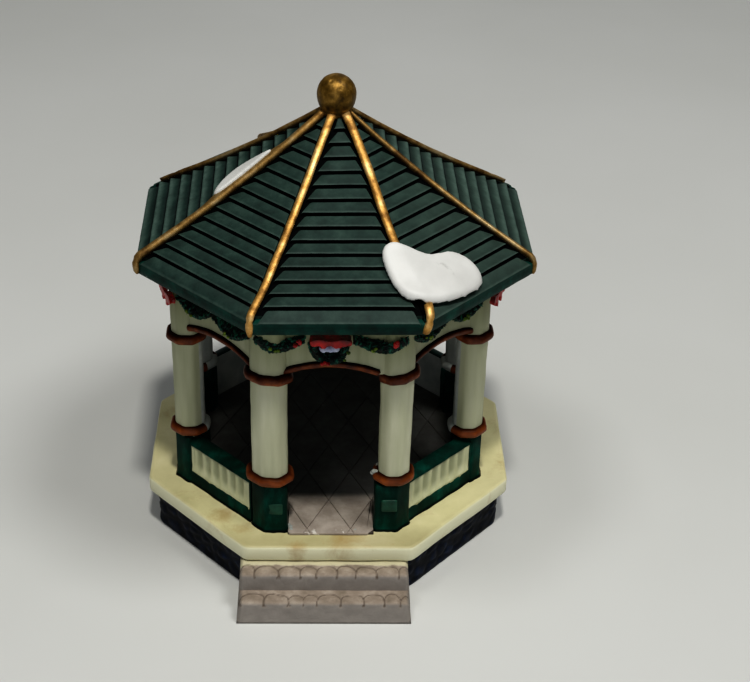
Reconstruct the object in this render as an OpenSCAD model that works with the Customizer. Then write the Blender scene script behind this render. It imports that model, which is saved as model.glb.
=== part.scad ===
// Ornamental octagonal gazebo, a cast and hand-painted tabletop piece.
// Z is up, the front steps face -Y, and the origin is on the axis of the octagon at table level.
// Every body of the building is centred on that axis; bay 0 is the open entrance bay.

/* [Base] */
// Width of the platform across its left and right sides
platform_width = 111; // [104:1:120]
// Depth of the platform from its front side to its back side
platform_depth = 108.5; // [104:1:118]
// Length of the platform's front and back sides
platform_front = 49; // [42:1:56]
// Length of the platform's left and right sides
platform_flank = 42; // [38:1:50]
// Thickness of the platform slab
platform_thick = 5.3; // [4:0.1:8]
// Corner radius of the platform in plan
platform_corner_r = 3; // [1:0.5:5]
// Rounding of the platform's upper and lower arris
platform_edge_r = 1.2; // [0.4:0.2:1.6]
// Height of the stone foundation under the platform
foundation_h = 12.2; // [8:0.2:20]
// How far the foundation stands back from the platform's edge
foundation_inset = 2.4; // [1:0.2:8]
// Corner radius of the foundation in plan
foundation_corner_r = 7; // [2:0.5:12]

/* [Steps] */
// Width of the two steps
step_width = 49; // [30:1:56]
// Tread depth of the upper step
upper_tread = 6; // [4:0.5:10]
// Tread depth of the lower step
lower_tread = 6; // [4:0.5:10]
// Height of the lower step
lower_step_h = 6.8; // [4:0.2:8]
// How far the steps stand to the right of the axis; negative is to the left
step_shift = -1.2; // [-3:0.1:3]
// How much wider the steps stand at table level, on every side
step_draft = 0.8; // [0:0.1:1.5]
// Rounding of the steps' nosings
step_edge_r = 1; // [0.4:0.1:1.5]

/* [Posts and low walls] */
// Distance from the axis to the outer faces of the corner posts
post_apothem = 46.6; // [45:0.1:48]
// Width of each of a corner post's two outer faces
post_face = 6; // [5:0.1:8]
// How much wider the faces of the two entrance posts are towards the entrance
entrance_cheek = 0.7; // [0:0.1:1.5]
// Depth of a corner post, outer face to inner face
post_depth = 9.4; // [9:0.1:11]
// Height of the corner posts above the platform
post_h = 16.4; // [12:0.2:22]
// Thickness of the low walls
wall_thick = 4; // [3.4:0.1:6]
// How far the low walls stand back from the posts' outer faces
wall_setback = 0.4; // [0.2:0.1:1]
// Height of the low walls above the platform
wall_h = 16; // [11:0.2:20]
// Fall of the walls' sloping coping, inner edge to outer edge
coping_fall = 1.2; // [0.4:0.1:2]
// Height of the wall's plinth, below its fluted panel
wall_plinth = 4.2; // [2:0.2:6]
// Height of the fluted panels
panel_h = 9.6; // [4:0.2:9.8]
// Width of the frame left at each end of a fluted panel
wall_stile = 0.4; // [0.2:0.1:4]
// Depth of the recess that a fluted panel fills
panel_recess = 1.6; // [1.2:0.1:2]
// How far a fluted panel's face lies behind the wall's face
panel_sink = 0.4; // [0.2:0.1:0.6]
// Number of flutes in each panel
flute_count = 7; // [4:1:9]
// Radius of each flute
flute_r = 1.3; // [0.8:0.05:1.4]
// Depth of each flute
flute_depth = 0.5; // [0.3:0.05:0.6]
// Thickness of the paving inside the walls
paving_thick = 0.8; // [0.4:0.1:1.5]
// How far the paving runs out past the posts at the entrance
threshold_run = 1.8; // [0.5:0.1:4]

/* [Columns and collars] */
// Distance from the axis to the centre of each column
column_ring = 45.4; // [44.8:0.1:45.4]
// Width of a column across its flats
column_width = 9.2; // [7:0.1:9.2]
// Height of the column collars
collar_h = 3.4; // [2:0.1:4.5]
// How far a collar stands out from the column
collar_proud = 1.5; // [0.8:0.1:1.8]
// Height of the upper collars' underside above the platform
upper_collar_z = 50; // [40:0.5:54]

/* [Arches] */
// Thickness of the arch panels under the eaves
arch_thick = 3.8; // [2.6:0.1:5]
// Distance from the axis to the outer faces of the arch panels
arch_apothem = 44.2; // [43:0.1:44.8]
// Height of the arches' springing above the upper collars
arch_spring = 0.5; // [0:0.1:2]
// Rise of each arch above its springing
arch_rise = 2.5; // [1.5:0.1:5]
// Radius of the half-round moulding along each arch
trim_r = 1.05; // [0.8:0.05:1.6]

/* [Garlands and bows] */
// Height of the garlands' ends above the springing of the arches
garland_lift = 12; // [11:0.1:13]
// How far a garland hangs below its ends
garland_sag = 2.9; // [1:0.1:4]
// Half height of a garland at its lowest part
garland_half = 1.95; // [1.3:0.05:2.2]
// Half height of a garland at its tips
garland_tip = 1.1; // [0.6:0.05:1.2]
// How far the garlands stand out from the columns' faces
garland_proud = 1.2; // [0.8:0.1:2]
// Outer radius of the two wreaths, front and back
wreath_r = 6.3; // [5.4:0.1:6.5]
// Width of a wreath's ring
wreath_ring = 3.7; // [2.4:0.1:4.5]
// Height of the wreaths' centres above the springing of the arches
wreath_lift = 10.3; // [9.6:0.1:11]
// Depth of a wreath, from the frieze to its front
wreath_depth = 3; // [2:0.1:3.4]
// Width of a ribbon bow across its loops
bow_width = 12; // [8:0.5:13]
// Height of a bow's loops
bow_h = 5.2; // [3:0.1:6]
// Thickness of a bow in front of what it is tied over
bow_thick = 1.4; // [0.8:0.1:2]
// Drop of a bow's tails below its knot
tail_drop = 3.4; // [2.4:0.1:5]
// How much lower the bows on the columns hang than those on the wreaths
bow_drop = 1.5; // [0:0.1:2]

/* [Snow] */
// Thickness of the two patches of snow on the roof
snow_thick = 2.2; // [1:0.1:3.5]

/* [Roof] */
// How far the roof is set to the right of the axis
roof_shift_x = 1.1; // [-1.5:0.1:1.5]
// How far the roof is set back from the axis
roof_shift_y = 0.5; // [-1.5:0.1:1.5]
// Angle by which the roof is turned on its columns
roof_turn = 1; // [-2:0.1:2]
// Distance from the axis to the eaves' corners
eave_ring = 60.7; // [58:0.1:64]
// Height of the eaves' upper arris above the platform
eave_z = 78.9; // [74:0.5:86]
// Height of the fascia
fascia_h = 5.1; // [2.5:0.1:6]
// Height of the roof's own peak above the eaves
roof_rise = 37.7; // [30:0.5:44]
// Hollow of the bell-cast slope at its middle
roof_sag = 1.95; // [0:0.05:3]
// Thickness of the roof shell, measured upright
shell_thick = 4.5; // [3.5:0.1:6]
// Number of lapped boards on each roof panel
board_count = 15; // [8:1:18]
// How far each board's lower edge stands over the next
board_lap = 0.9; // [0.4:0.1:1.2]
// Width of the gilt ribs on the hips
rib_width = 2.7; // [1.4:0.1:3.2]
// How far the ribs stand above the roof boards
rib_rise = 1; // [0.5:0.1:1.6]
// How far the ribs stand out from the fascia at the corners
rib_nose = 0.8; // [0.3:0.1:1.2]
// Radius of the ball finial
ball_r = 5.65; // [4.6:0.05:7]
// Height of the ball's centre above the roof's own peak
ball_lift = 2; // [0:0.1:3]
// Apothem of the neck that carries the ball
neck_apothem = 3.5; // [3:0.1:4]

/* [Hidden] */
$fn = 48;
tiny = 0.01;
bays = 8;
half_bay = 180 / bays;
low_wall_bays = [1, 2, 3, 4, 5, 6, 7];
platform_z = foundation_h + platform_thick;
post_top = platform_z + post_h;
seat_margin = 0.5;
cut_margin = 1;
post_corner_r = 0.9;
plaque_size = [4.6, 4.2];
plaque_z = 6.8;
plaque_proud = 0.4;
plaque_root = 1;
collar_flat = 0.3;
upper_collar_base = platform_z + upper_collar_z;
spring_z = upper_collar_base + collar_h + arch_spring;
soffit_z = platform_z + eave_z - fascia_h;
eave_top_z = platform_z + eave_z;
eave_apothem = eave_ring * cos(half_bay);
seat_apothem = column_ring * cos(half_bay) - column_width / 2 - seat_margin;
ball_z = eave_top_z + roof_rise + ball_lift;
bay_half = post_apothem * tan(half_bay) - post_face;
door_half = bay_half - entrance_cheek;
column_apothem = column_ring * cos(half_bay);
column_offset = column_ring * sin(half_bay);
wall_outer = post_apothem - wall_setback;
wall_inner = wall_outer - wall_thick;
arch_half = column_offset - column_width / 2;
arch_r = (arch_half * arch_half + arch_rise * arch_rise) / (2 * arch_rise);
wall_top = platform_z + wall_h;
column_face = column_apothem + column_width / 2;
column_flat = column_offset - column_width / 2 * tan(half_bay);
frieze_end = column_flat - (column_face - arch_apothem);
column_arris = column_ring + column_width / 2 / cos(half_bay);
garland_apothem = column_face + garland_proud;
garland_z = spring_z + garland_lift;
garland_pitch = 1.9;
garland_gap = 0.6;
garland_wrap = 0.85;
wreath_z = spring_z + wreath_lift;
wreath_bays = [0, 4];
trim_top = spring_z + arch_rise + 2 * trim_r;
bow_seat = 0.9;
loop_hang = 0.3;
bow_z = wreath_z + bow_seat + loop_hang * bow_h;
bow_bite = 0.6;
bow_corners = [2, 3, 6, 7];
knot_share = 0.35;
tail_w = 1.4;
tail_splay = 2.4;
touch = 0.05;
snow_round = 0.12;
snow_edge = 0.3;
front_snow = [
    [13, -36.5], [19, -36.5], [25, -37], [32, -31.5], [39, -34], [40.3, -40],
    [33.8, -46.3], [23.4, -52.6], [16.5, -51.5], [12.5, -44.5], [11, -39]
];
front_snow_centre = [25, -42];
side_snow = [
    [-18, -5.8], [-27, -9.6], [-36.2, -13.4], [-36.4, -9.6], [-33, -4.8], [-26.5, -3.2], [-21, -4.6]
];
side_snow_centre = [-29.5, -8];
rib_slope_steps = 6;
rib_eave_steps = 4;
nose_taper = 0.35;
snow_gap = 0.3;
top_t = neck_apothem / eave_apothem;
seat_t = seat_apothem / eave_apothem;

// ---- shared forms ----

// Turns its children to bay k: bay 0 looks along -Y and the bays run anticlockwise.
module at_bay(k) {
    rotate([0, 0, k * 360 / bays])
        children();
}

// Turns its children to the corner between bay k - 1 and bay k.
module at_corner(k) {
    rotate([0, 0, (k - 0.5) * 360 / bays])
        children();
}

// Lays a side elevation, drawn with X along the bay and Y upright, on the plane at that apothem.
module on_face(apothem, thick) {
    translate([0, -apothem + thick, 0])
        rotate([90, 0, 0])
            linear_extrude(thick)
                children();
}

// Lays a cross-section, drawn with X away from the bay's centre line and Y upright, along the bay.
module along_bay(half_length) {
    translate([-half_length, 0, 0])
        rotate([90, 0, 90])
            linear_extrude(2 * half_length)
                children();
}

// A regular octagon with its flats towards the bays.
module bay_octagon(apothem) {
    rotate(half_bay)
        circle(r = apothem / cos(half_bay), $fn = bays);
}

// ---- base ----

// Corners of the platform before they are rounded, anticlockwise from the front left.
function platform_points() =
    let (w = platform_width / 2, d = platform_depth / 2, f = platform_front / 2, s = platform_flank / 2)
    [[-f, -d], [f, -d], [w, -s], [w, s], [f, d], [-f, d], [-w, s], [-w, -s]];

// Inward normal of the side that runs from p to q, anticlockwise.
function inward(p, q) = [p.y - q.y, q.x - p.x] / norm(q - p);

// The corners of a convex outline whose sides have all moved in by the same distance.
function inset_points(points, distance) = [
    for (i = [0:len(points) - 1])
        let (
            count = len(points),
            before = inward(points[(i + count - 1) % count], points[i]),
            after = inward(points[i], points[(i + 1) % count])
        )
        points[i] + distance * (before + after) / (1 + before * after)
];

// Cast stone foundation: a plain mass, set back under the platform, with well-rounded corners.
module foundation() {
    color("#1c2433")
        linear_extrude(foundation_h)
            offset(r = foundation_corner_r)
                polygon(inset_points(platform_points(), foundation_inset + foundation_corner_r));
}

// One rounded corner of the platform: a disc with a quarter-round arris above and below.
module platform_corner() {
    flat_r = platform_corner_r - platform_edge_r;
    rotate_extrude($fn = 40)
        polygon(concat(
            [[0, 0]],
            [for (turn = [-90:22.5:0])
                [flat_r + platform_edge_r * cos(turn), platform_edge_r * (1 + sin(turn))]],
            [for (turn = [0:22.5:90])
                [flat_r + platform_edge_r * cos(turn), platform_thick - platform_edge_r * (1 - sin(turn))]],
            [[0, platform_thick]]
        ));
}

module platform() {
    color("#d9d3a3")
        translate([0, 0, foundation_h])
            hull()
                for (p = inset_points(platform_points(), platform_corner_r))
                    translate(p)
                        platform_corner();
}

// The floor inside the walls, with a tongue that runs out through the entrance.
module paving() {
    color("#8f857b")
        translate([0, 0, platform_z])
            linear_extrude(paving_thick)
                difference() {
                    union() {
                        bay_octagon(wall_inner);
                        translate([-door_half, -post_apothem - threshold_run])
                            square([2 * door_half, post_apothem]);
                    }
                    for (k = [0:bays - 1])
                        at_corner(k)
                            post_plan(k);
                }
}

// A step with rounded nosings that spreads a little towards the table.
module step_block(y_back, y_front, height) {
    half_w = step_width / 2;
    translate([step_shift, 0, 0])
        hull() {
            translate([-half_w - step_draft, y_front - step_draft, 0])
                cube([step_width + 2 * step_draft, y_back - y_front + step_draft, tiny]);
            for (side = [-1, 1]) {
                translate([side * (half_w - step_edge_r), y_front + step_edge_r, height - step_edge_r])
                    sphere(step_edge_r, $fn = 24);
                translate([side * (half_w - step_edge_r), y_back, height - step_edge_r])
                    rotate([90, 0, 0])
                        cylinder(r = step_edge_r, h = tiny, $fn = 24);
            }
        }
}

module upper_step() {
    color("#8f857b")
        step_block(-(platform_depth / 2 - foundation_inset), -(platform_depth / 2 + upper_tread), foundation_h);
}

module lower_step() {
    y_back = -(platform_depth / 2 + upper_tread);
    color("#8f857b")
        difference() {
            step_block(y_back, y_back - lower_tread, lower_step_h);
            upper_step();
        }
}

// ---- corner posts and low walls ----

// A corner post's end towards one bay, standing square to that bay: its outer end and its inner end.
function post_end(face) =
    let (outer_end = [0, -post_apothem / cos(half_bay)] + face * [cos(half_bay), sin(half_bay)])
    [outer_end, outer_end + post_depth * [-sin(half_bay), cos(half_bay)]];

// Plan of the post at corner k, drawn with the building's corner towards -Y: two outer faces that
// meet at the corner, and the two ends. The entrance lies between corners 0 and 1.
function post_points(k) =
    let (
        ahead = post_end(post_face + (k == 0 ? entrance_cheek : 0)),
        behind = post_end(post_face + (k == 1 ? entrance_cheek : 0))
    )
    [
        [0, -post_apothem / cos(half_bay)], ahead[0], ahead[1],
        [0, -(post_apothem - post_depth) / cos(half_bay)],
        [-behind[1].x, behind[1].y], [-behind[0].x, behind[0].y]
    ];

module post_plan(k, corner_r = 0) {
    offset(r = corner_r)
        offset(delta = -corner_r)
            polygon(post_points(k));
}

// The green blocks under the columns; the two at the entrance carry a raised plaque on their front.
module corner_posts() {
    color("#0d3b2e") {
        for (k = [0:bays - 1])
            at_corner(k)
                translate([0, 0, platform_z])
                    linear_extrude(post_h)
                        post_plan(k, post_corner_r);
        for (side = [-1, 1])
            translate([side * (door_half + (post_face + entrance_cheek) / 2), 0, platform_z + plaque_z])
                on_face(post_apothem + plaque_proud, plaque_proud + plaque_root)
                    square(plaque_size, center = true);
    }
}

// Side elevation of a wall's recess, which its fluted panel fills.
module panel_outline() {
    translate([wall_stile - bay_half, platform_z + wall_plinth])
        square([2 * (bay_half - wall_stile), panel_h]);
}

// One low wall between two posts, with a sloping coping and a recess for its fluted panel.
module low_wall(k) {
    color("#0d3b2e")
        at_bay(k)
            difference() {
                along_bay(bay_half)
                    polygon([
                        [-wall_outer, platform_z], [-wall_inner, platform_z],
                        [-wall_inner, wall_top], [-wall_outer, wall_top - coping_fall]
                    ]);
                on_face(wall_outer + tiny, panel_recess + tiny)
                    panel_outline();
            }
}

module fluted_panels() {
    panel_half = bay_half - wall_stile;
    pitch = 2 * panel_half / flute_count;
    face = wall_outer - panel_sink;
    color("#c9cba8")
        for (k = low_wall_bays)
            at_bay(k)
                difference() {
                    on_face(face, panel_recess - panel_sink)
                        panel_outline();
                    for (n = [0:flute_count - 1])
                        translate([(n + 0.5) * pitch - panel_half, -face - flute_r + flute_depth, platform_z])
                            cylinder(r = flute_r, h = wall_h);
                }
}

// ---- columns and collars ----

// One octagonal column, from its post to the underside of the eaves.
module column(k) {
    color("#d3d6bf")
        at_corner(k - 1)
            translate([0, -column_ring, post_top])
                cylinder(r = column_width / 2 / cos(half_bay), h = soffit_z - post_top, $fn = bays);
}

// A rounded eight-sided band around a column.
module collar() {
    inner = column_width / 2;
    rotate_extrude($fn = bays)
        scale([1 / cos(half_bay), 1])
            polygon(concat(
                [[inner, 0]],
                [for (turn = [-90:30:90])
                    [inner + collar_flat + (collar_proud - collar_flat) * cos(turn), collar_h / 2 * (1 + sin(turn))]],
                [[inner, collar_h]]
            ));
}

module collars() {
    color("#6b3420")
        for (k = [0:bays - 1], z = [post_top, upper_collar_base])
            at_corner(k)
                translate([0, -column_ring, z])
                    collar();
}

// ---- arches ----

// The panel between two column heads, with a segmental arch cut from its lower edge.
module arch_panel(k) {
    color("#b9bfa3")
        at_bay(k - 1)
            on_face(arch_apothem, arch_thick)
                difference() {
                    translate([-arch_half, spring_z])
                        square([2 * arch_half, soffit_z - spring_z]);
                    translate([0, spring_z + arch_rise - arch_r])
                        circle(r = arch_r, $fn = 96);
                }
}

// The half-round moulding that follows each arch on the outside.
module arch_trims() {
    sweep_angle = 2 * asin(arch_half / arch_r);
    color("#6b3420")
        for (k = [0:bays - 1])
            at_bay(k)
                intersection() {
                    translate([0, -arch_apothem, spring_z + arch_rise - arch_r])
                        rotate([90, 0, 0])
                            rotate([0, 0, 90 - sweep_angle / 2])
                                rotate_extrude(angle = sweep_angle, $fn = 96)
                                    translate([arch_r + trim_r, 0])
                                        intersection() {
                                            circle(r = trim_r);
                                            translate([-trim_r, 0])
                                                square(2 * trim_r);
                                        }
                    along_bay(arch_half)
                        translate([-arch_apothem - trim_r, spring_z])
                            square([trim_r, arch_rise + 2 * trim_r]);
                }
}

// ---- roof ----

// Sets its children on the columns as the roof was glued: a little off the axis, and turned.
module on_roof() {
    translate([roof_shift_x, roof_shift_y, 0])
        rotate([0, 0, roof_turn])
            children();
}

// Height of the boards' lower edges: t runs from 0 at the peak to 1 at the eaves.
function roof_z(t) = eave_top_z + roof_rise * (1 - t) - 4 * roof_sag * t * (1 - t);

// Height of the roof's underside: a hollow shell, with level soffits from the seat outwards.
function under_z(t) = t < seat_t ? roof_z(t) - shell_thick : soffit_z;

// Lower end of board n, counted from the peak; n = 0 is the top of the first board.
function board_t(n) = top_t + (1 - top_t) * n / board_count;

// Section of one roof panel, with X away from the axis as -X and Y upright.
function roof_section() = concat(
    [for (n = [board_count:-1:1], at = [0, 1])
        let (t = board_t(n - at))
        [-t * eave_apothem, roof_z(t) - at * board_lap]],
    [for (t = [top_t, seat_t / 2, seat_t - tiny])
        [-t * eave_apothem, under_z(t)]],
    [[-seat_apothem, soffit_z], [-eave_apothem, soffit_z]]
);

// One of the eight slopes, clear of the hips by half the width of their ribs.
module roof_panel(k) {
    hip_gap = rib_width / 2;
    reach = eave_apothem + rib_width;
    half_reach = reach * tan(half_bay) - hip_gap / cos(half_bay);
    color("#1f3f3a")
        on_roof()
            at_bay(k - 1)
                intersection() {
                    along_bay(half_reach)
                        polygon(roof_section());
                    translate([0, 0, soffit_z - cut_margin])
                        linear_extrude(eave_top_z + roof_rise - soffit_z + 2 * cut_margin)
                            polygon([
                                [0, -hip_gap / sin(half_bay)],
                                [-half_reach, -reach],
                                [half_reach, -reach]
                            ]);
                }
}

// Even steps from one value to another, both included.
function steps(from, to, count) = [for (n = [0:count]) from + (to - from) * n / count];

// Stations of a hip rib, from the neck to the nose: [distance from the axis, underside, top, width].
function rib_stations() = concat(
    [for (t = concat(steps(top_t, seat_t - tiny, rib_slope_steps), steps(seat_t, 1, rib_eave_steps)))
        [t * eave_ring, under_z(t), roof_z(t) + rib_rise, rib_width]],
    [for (turn = [30:30:90])
        [eave_ring + rib_nose * sin(turn), soffit_z, eave_top_z + rib_rise * cos(turn),
         rib_width * (1 - nose_taper * (1 - cos(turn)))]]
);

// Outline of a rib at one station: upright sides under a half-round crown.
function rib_ring(s) = concat(
    [[-s[3] / 2, -s[0], s[1]]],
    [for (turn = [180:-30:0])
        [s[3] / 2 * cos(turn), -s[0], s[2] - s[3] / 2 * (1 - sin(turn))]],
    [[s[3] / 2, -s[0], s[1]]]
);

// A closed skin over rings that all have the same number of points.
module loft(rings) {
    sides = len(rings[0]);
    last = (len(rings) - 1) * sides;
    polyhedron(
        points = [for (ring = rings) each ring],
        faces = concat(
            [[for (i = [sides - 1:-1:0]) i]],
            [for (r = [0:len(rings) - 2], i = [0:sides - 1])
                let (a = r * sides + i, b = r * sides + (i + 1) % sides)
                [a, b, b + sides, a + sides]],
            [[for (i = [0:sides - 1]) last + i]]
        ),
        convexity = 6
    );
}

module ball() {
    translate([0, 0, ball_z])
        sphere(ball_r);
}

module hip_rib(k) {
    at_corner(k)
        loft([for (s = rib_stations()) rib_ring(s)]);
}

module hip_ribs() {
    color("#a8813a")
        on_roof()
            difference() {
                for (k = [0:bays - 1])
                    hip_rib(k);
                ball();
            }
}

// The ball, on an eight-sided neck that closes the top of the roof.
module finial() {
    neck_base = roof_z(top_t) - shell_thick;
    color("#a8813a")
        on_roof()
            union() {
                ball();
                translate([0, 0, neck_base])
                    linear_extrude(ball_z - neck_base)
                        bay_octagon(neck_apothem);
            }
}

// ---- garlands, wreaths and bows ----

// Distance from the axis to what lies behind a garland, at a distance along the bay from its centre
// line: the frieze, then the sloping side of the column, then the column's outer face.
function behind(along) = max(arch_apothem, min(column_face, column_face - (column_flat - along)));

// Stations along a garland, with one at each edge of what it lies on.
function garland_stations(from, to) =
    let (stops = concat([from], [for (edge = [frieze_end, column_flat]) if (edge > from && edge < to) edge], [to]))
    concat([from], [
        for (i = [1:len(stops) - 1])
            let (count = ceil((stops[i] - stops[i - 1]) / garland_pitch))
            for (n = [1:count])
                stops[i - 1] + (stops[i] - stops[i - 1]) * n / count
    ]);

// Outline of a garland at one station: flat behind, and half an ellipse in front.
function garland_ring(along, hang) =
    let (
        back = behind(along),
        depth = garland_apothem - back,
        half = garland_tip + (garland_half - garland_tip) * hang
    )
    [for (turn = [-90:30:90])
        [along, -back - depth * cos(turn), garland_z - garland_sag * hang + half * sin(turn)]];

// One garland, from near the bay's centre line out to its column. The wrap is the share of its hang
// that it makes before it ends: at 1 both tips are at the same height.
module garland(from, to, wrap) {
    loft([for (along = garland_stations(from, to))
        garland_ring(along, sin(180 * wrap * (along - from) / (to - from)))]);
}

// A wreath's ring, flat behind, open at the top under its bow and hollowed where it crosses the arch.
module wreath() {
    middle = wreath_r - wreath_ring / 2;
    reach = wreath_r + cut_margin;
    base = wreath_z - reach;
    difference() {
        translate([0, -arch_apothem, wreath_z])
            rotate([90, 0, 0])
                rotate_extrude()
                    polygon([for (turn = [0:30:180])
                        [middle + wreath_ring / 2 * cos(turn), wreath_depth * sin(turn)]]);
        translate([-reach, -arch_apothem - wreath_depth - cut_margin, wreath_z + bow_seat])
            cube([2 * reach, wreath_depth + 2 * cut_margin, wreath_r]);
        translate([-reach, -arch_apothem - trim_r - touch, base])
            cube([2 * reach, trim_r + touch + cut_margin, trim_top + touch - base]);
    }
}

// Garlands round the frieze, two to a bay, with a wreath between them in the front and back bays.
module garlands() {
    color("#1d4a35")
        for (k = [0:bays - 1]) {
            has_wreath = len(search(k, wreath_bays)) > 0;
            from = has_wreath ? wreath_r + garland_gap : garland_gap;
            to = has_wreath ? column_offset + column_width / 4 : column_flat - garland_gap;
            at_bay(k) {
                for (side = [0, 1])
                    mirror([side, 0, 0])
                        garland(from, to, has_wreath ? garland_wrap : 1);
                if (has_wreath)
                    wreath();
            }
        }
}

// Face of a bow's two loops, which narrow to the knot between them.
function bow_outline() = [
    for (turn = [0:15:345])
        [bow_width / 2 * cos(turn), bow_h / 2 * sin(turn) * (knot_share + (1 - knot_share) * abs(cos(turn)))]
];

// A bow that faces -Y, with the back of its loops on the plane at that distance from the axis. Its
// two tails hang from the knot, in front.
module bow(distance, depth, height) {
    translate([0, -distance, height])
        rotate([90, 0, 0]) {
            linear_extrude(depth)
                polygon(bow_outline());
            translate([0, 0, depth - bow_thick])
                linear_extrude(bow_thick)
                    for (side = [0, 1])
                        mirror([side, 0])
                            polygon([
                                [-tail_w / 4, 0], [tail_w, 0],
                                [tail_splay * tail_w, tail_w / 2 - tail_drop], [tail_w, -tail_drop]
                            ]);
        }
}

// Bows on the two wreaths, and on the columns at both ends of the left and right bays.
module bows() {
    color("#9c1420") {
        for (k = wreath_bays)
            at_bay(k)
                bow(arch_apothem, wreath_depth + touch + bow_thick, bow_z);
        difference() {
            for (k = bow_corners)
                at_corner(k)
                    bow(column_arris - bow_bite, bow_bite + touch + bow_thick, bow_z - bow_drop);
            for (k = bow_corners)
                column(k + 1);
        }
    }
}

// ---- snow ----

// A closed smooth curve, pulled into shape by a loop of control points.
function smooth_loop(points, count) = [
    for (i = [0:len(points) - 1], n = [0:count - 1])
        let (
            u = n / count,
            before = points[(i + len(points) - 1) % len(points)],
            after = points[(i + 1) % len(points)]
        )
        ((1 - u) * (1 - u) * before + (1 + 2 * u - 2 * u * u) * points[i] + u * u * after) / 2
];

// Height of the boards' lower edges over a point of the plan.
function roof_over(p) =
    let (apothem = max([for (k = [0:bays - 1]) p.x * sin(k * 360 / bays) - p.y * cos(k * 360 / bays)]))
    roof_z(min(1, apothem / eave_apothem));

// One ring of a patch: its outline drawn in towards the centre, and lifted off the boards.
function snow_ring(outline, centre, share, lift) = [
    for (p = outline)
        let (q = centre + share * (p - centre))
        [q.x, q.y, roof_over(q) + lift]
];

// One patch of snow, which follows the boards under it and is rounded over at its edge.
module snow_patch(points, centre) {
    outline = smooth_loop(points, 3);
    loft(concat(
        [for (share = steps(tiny, 1, 3))
            snow_ring(outline, centre, share, snow_gap)],
        [for (turn = [0:30:90])
            snow_ring(
                outline, centre, 1 - snow_round * (1 - cos(turn)),
                snow_gap + snow_thick * (snow_edge + (1 - snow_edge) * sin(turn))
            )],
        [for (share = [0.5, tiny])
            snow_ring(outline, centre, share, snow_gap + snow_thick)]
    ));
}

// The larger patch lies over the front right hip, the thin one beside the left slope's front hip.
module snow_patches() {
    color("#f2f2ee")
        on_roof()
            difference() {
                union() {
                    snow_patch(front_snow, front_snow_centre);
                    snow_patch(side_snow, side_snow_centre);
                }
                hip_rib(1);
            }
}

foundation();
platform();
paving();
lower_step();
upper_step();
corner_posts();
for (k = low_wall_bays)
    low_wall(k);
fluted_panels();
for (k = [1:bays])
    column(k);
collars();
for (k = [1:bays])
    arch_panel(k);
arch_trims();
for (k = [1:bays])
    roof_panel(k);
hip_ribs();
finial();
garlands();
bows();
snow_patches();
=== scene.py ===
import math
import random

import bmesh
import bpy
from mathutils import Matrix, Vector, noise


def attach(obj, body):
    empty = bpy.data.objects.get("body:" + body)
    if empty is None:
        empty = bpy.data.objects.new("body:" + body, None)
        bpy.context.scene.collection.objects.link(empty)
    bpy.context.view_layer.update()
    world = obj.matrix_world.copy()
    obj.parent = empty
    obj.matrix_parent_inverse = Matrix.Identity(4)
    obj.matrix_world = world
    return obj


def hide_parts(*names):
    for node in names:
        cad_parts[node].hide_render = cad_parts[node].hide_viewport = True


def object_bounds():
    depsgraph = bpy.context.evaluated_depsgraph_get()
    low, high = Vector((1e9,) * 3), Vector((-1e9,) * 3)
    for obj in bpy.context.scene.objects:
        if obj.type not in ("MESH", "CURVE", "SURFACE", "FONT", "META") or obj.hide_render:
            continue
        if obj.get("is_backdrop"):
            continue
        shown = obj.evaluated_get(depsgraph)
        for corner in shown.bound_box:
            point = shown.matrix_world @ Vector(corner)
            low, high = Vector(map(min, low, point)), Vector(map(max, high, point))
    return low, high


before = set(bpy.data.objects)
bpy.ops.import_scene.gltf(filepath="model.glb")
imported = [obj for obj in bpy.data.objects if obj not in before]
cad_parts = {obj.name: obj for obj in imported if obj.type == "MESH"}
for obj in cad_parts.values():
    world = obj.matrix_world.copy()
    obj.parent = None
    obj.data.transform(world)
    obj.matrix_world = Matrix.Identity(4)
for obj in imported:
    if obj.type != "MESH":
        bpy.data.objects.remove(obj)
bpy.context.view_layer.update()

# ---- Foundation ----
# Rubble stones cast in one mass with the building and brushed with navy-black paint. The plaster was
# poured into a rubber mould, so every stone is soft-edged; the joints between them are the mould's ribs.

MM = 0.001
foundation_top = 12.2
platform_corners = [
    Vector((-24.5, -54.25)), Vector((24.5, -54.25)), Vector((55.5, -21.0)), Vector((55.5, 21.0)),
    Vector((24.5, 54.25)), Vector((-24.5, 54.25)), Vector((-55.5, 21.0)), Vector((-55.5, -21.0)),
]


def linear(hex_colour, alpha=1.0):
    """An sRGB hex colour as the linear one that a shader takes."""
    parts = [int(hex_colour[i : i + 2], 16) / 255 for i in (1, 3, 5)]
    return (*[p / 12.92 if p <= 0.04045 else ((p + 0.055) / 1.055) ** 2.4 for p in parts], alpha)


def add(tree, kind, settings=(), links=()):
    """Adds one node. A setting is an attribute or an input's value, and a link is (node, output)."""
    made = tree.nodes.new(kind)
    for key, value in dict(settings).items():
        if key == "stops":
            ramp = made.color_ramp
            while len(ramp.elements) < len(value):
                ramp.elements.new(0.5)
            for element, (place, colour) in zip(ramp.elements, value):
                element.position = place
                element.color = linear(colour) if isinstance(colour, str) else (*[colour] * 3, 1.0)
        elif isinstance(key, int) or key in made.inputs:
            made.inputs[key].default_value = value
        else:
            setattr(made, key, value)
    for key, (source, output) in dict(links).items():
        tree.links.new(source.outputs[output], made.inputs[key])
    return made


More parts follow.
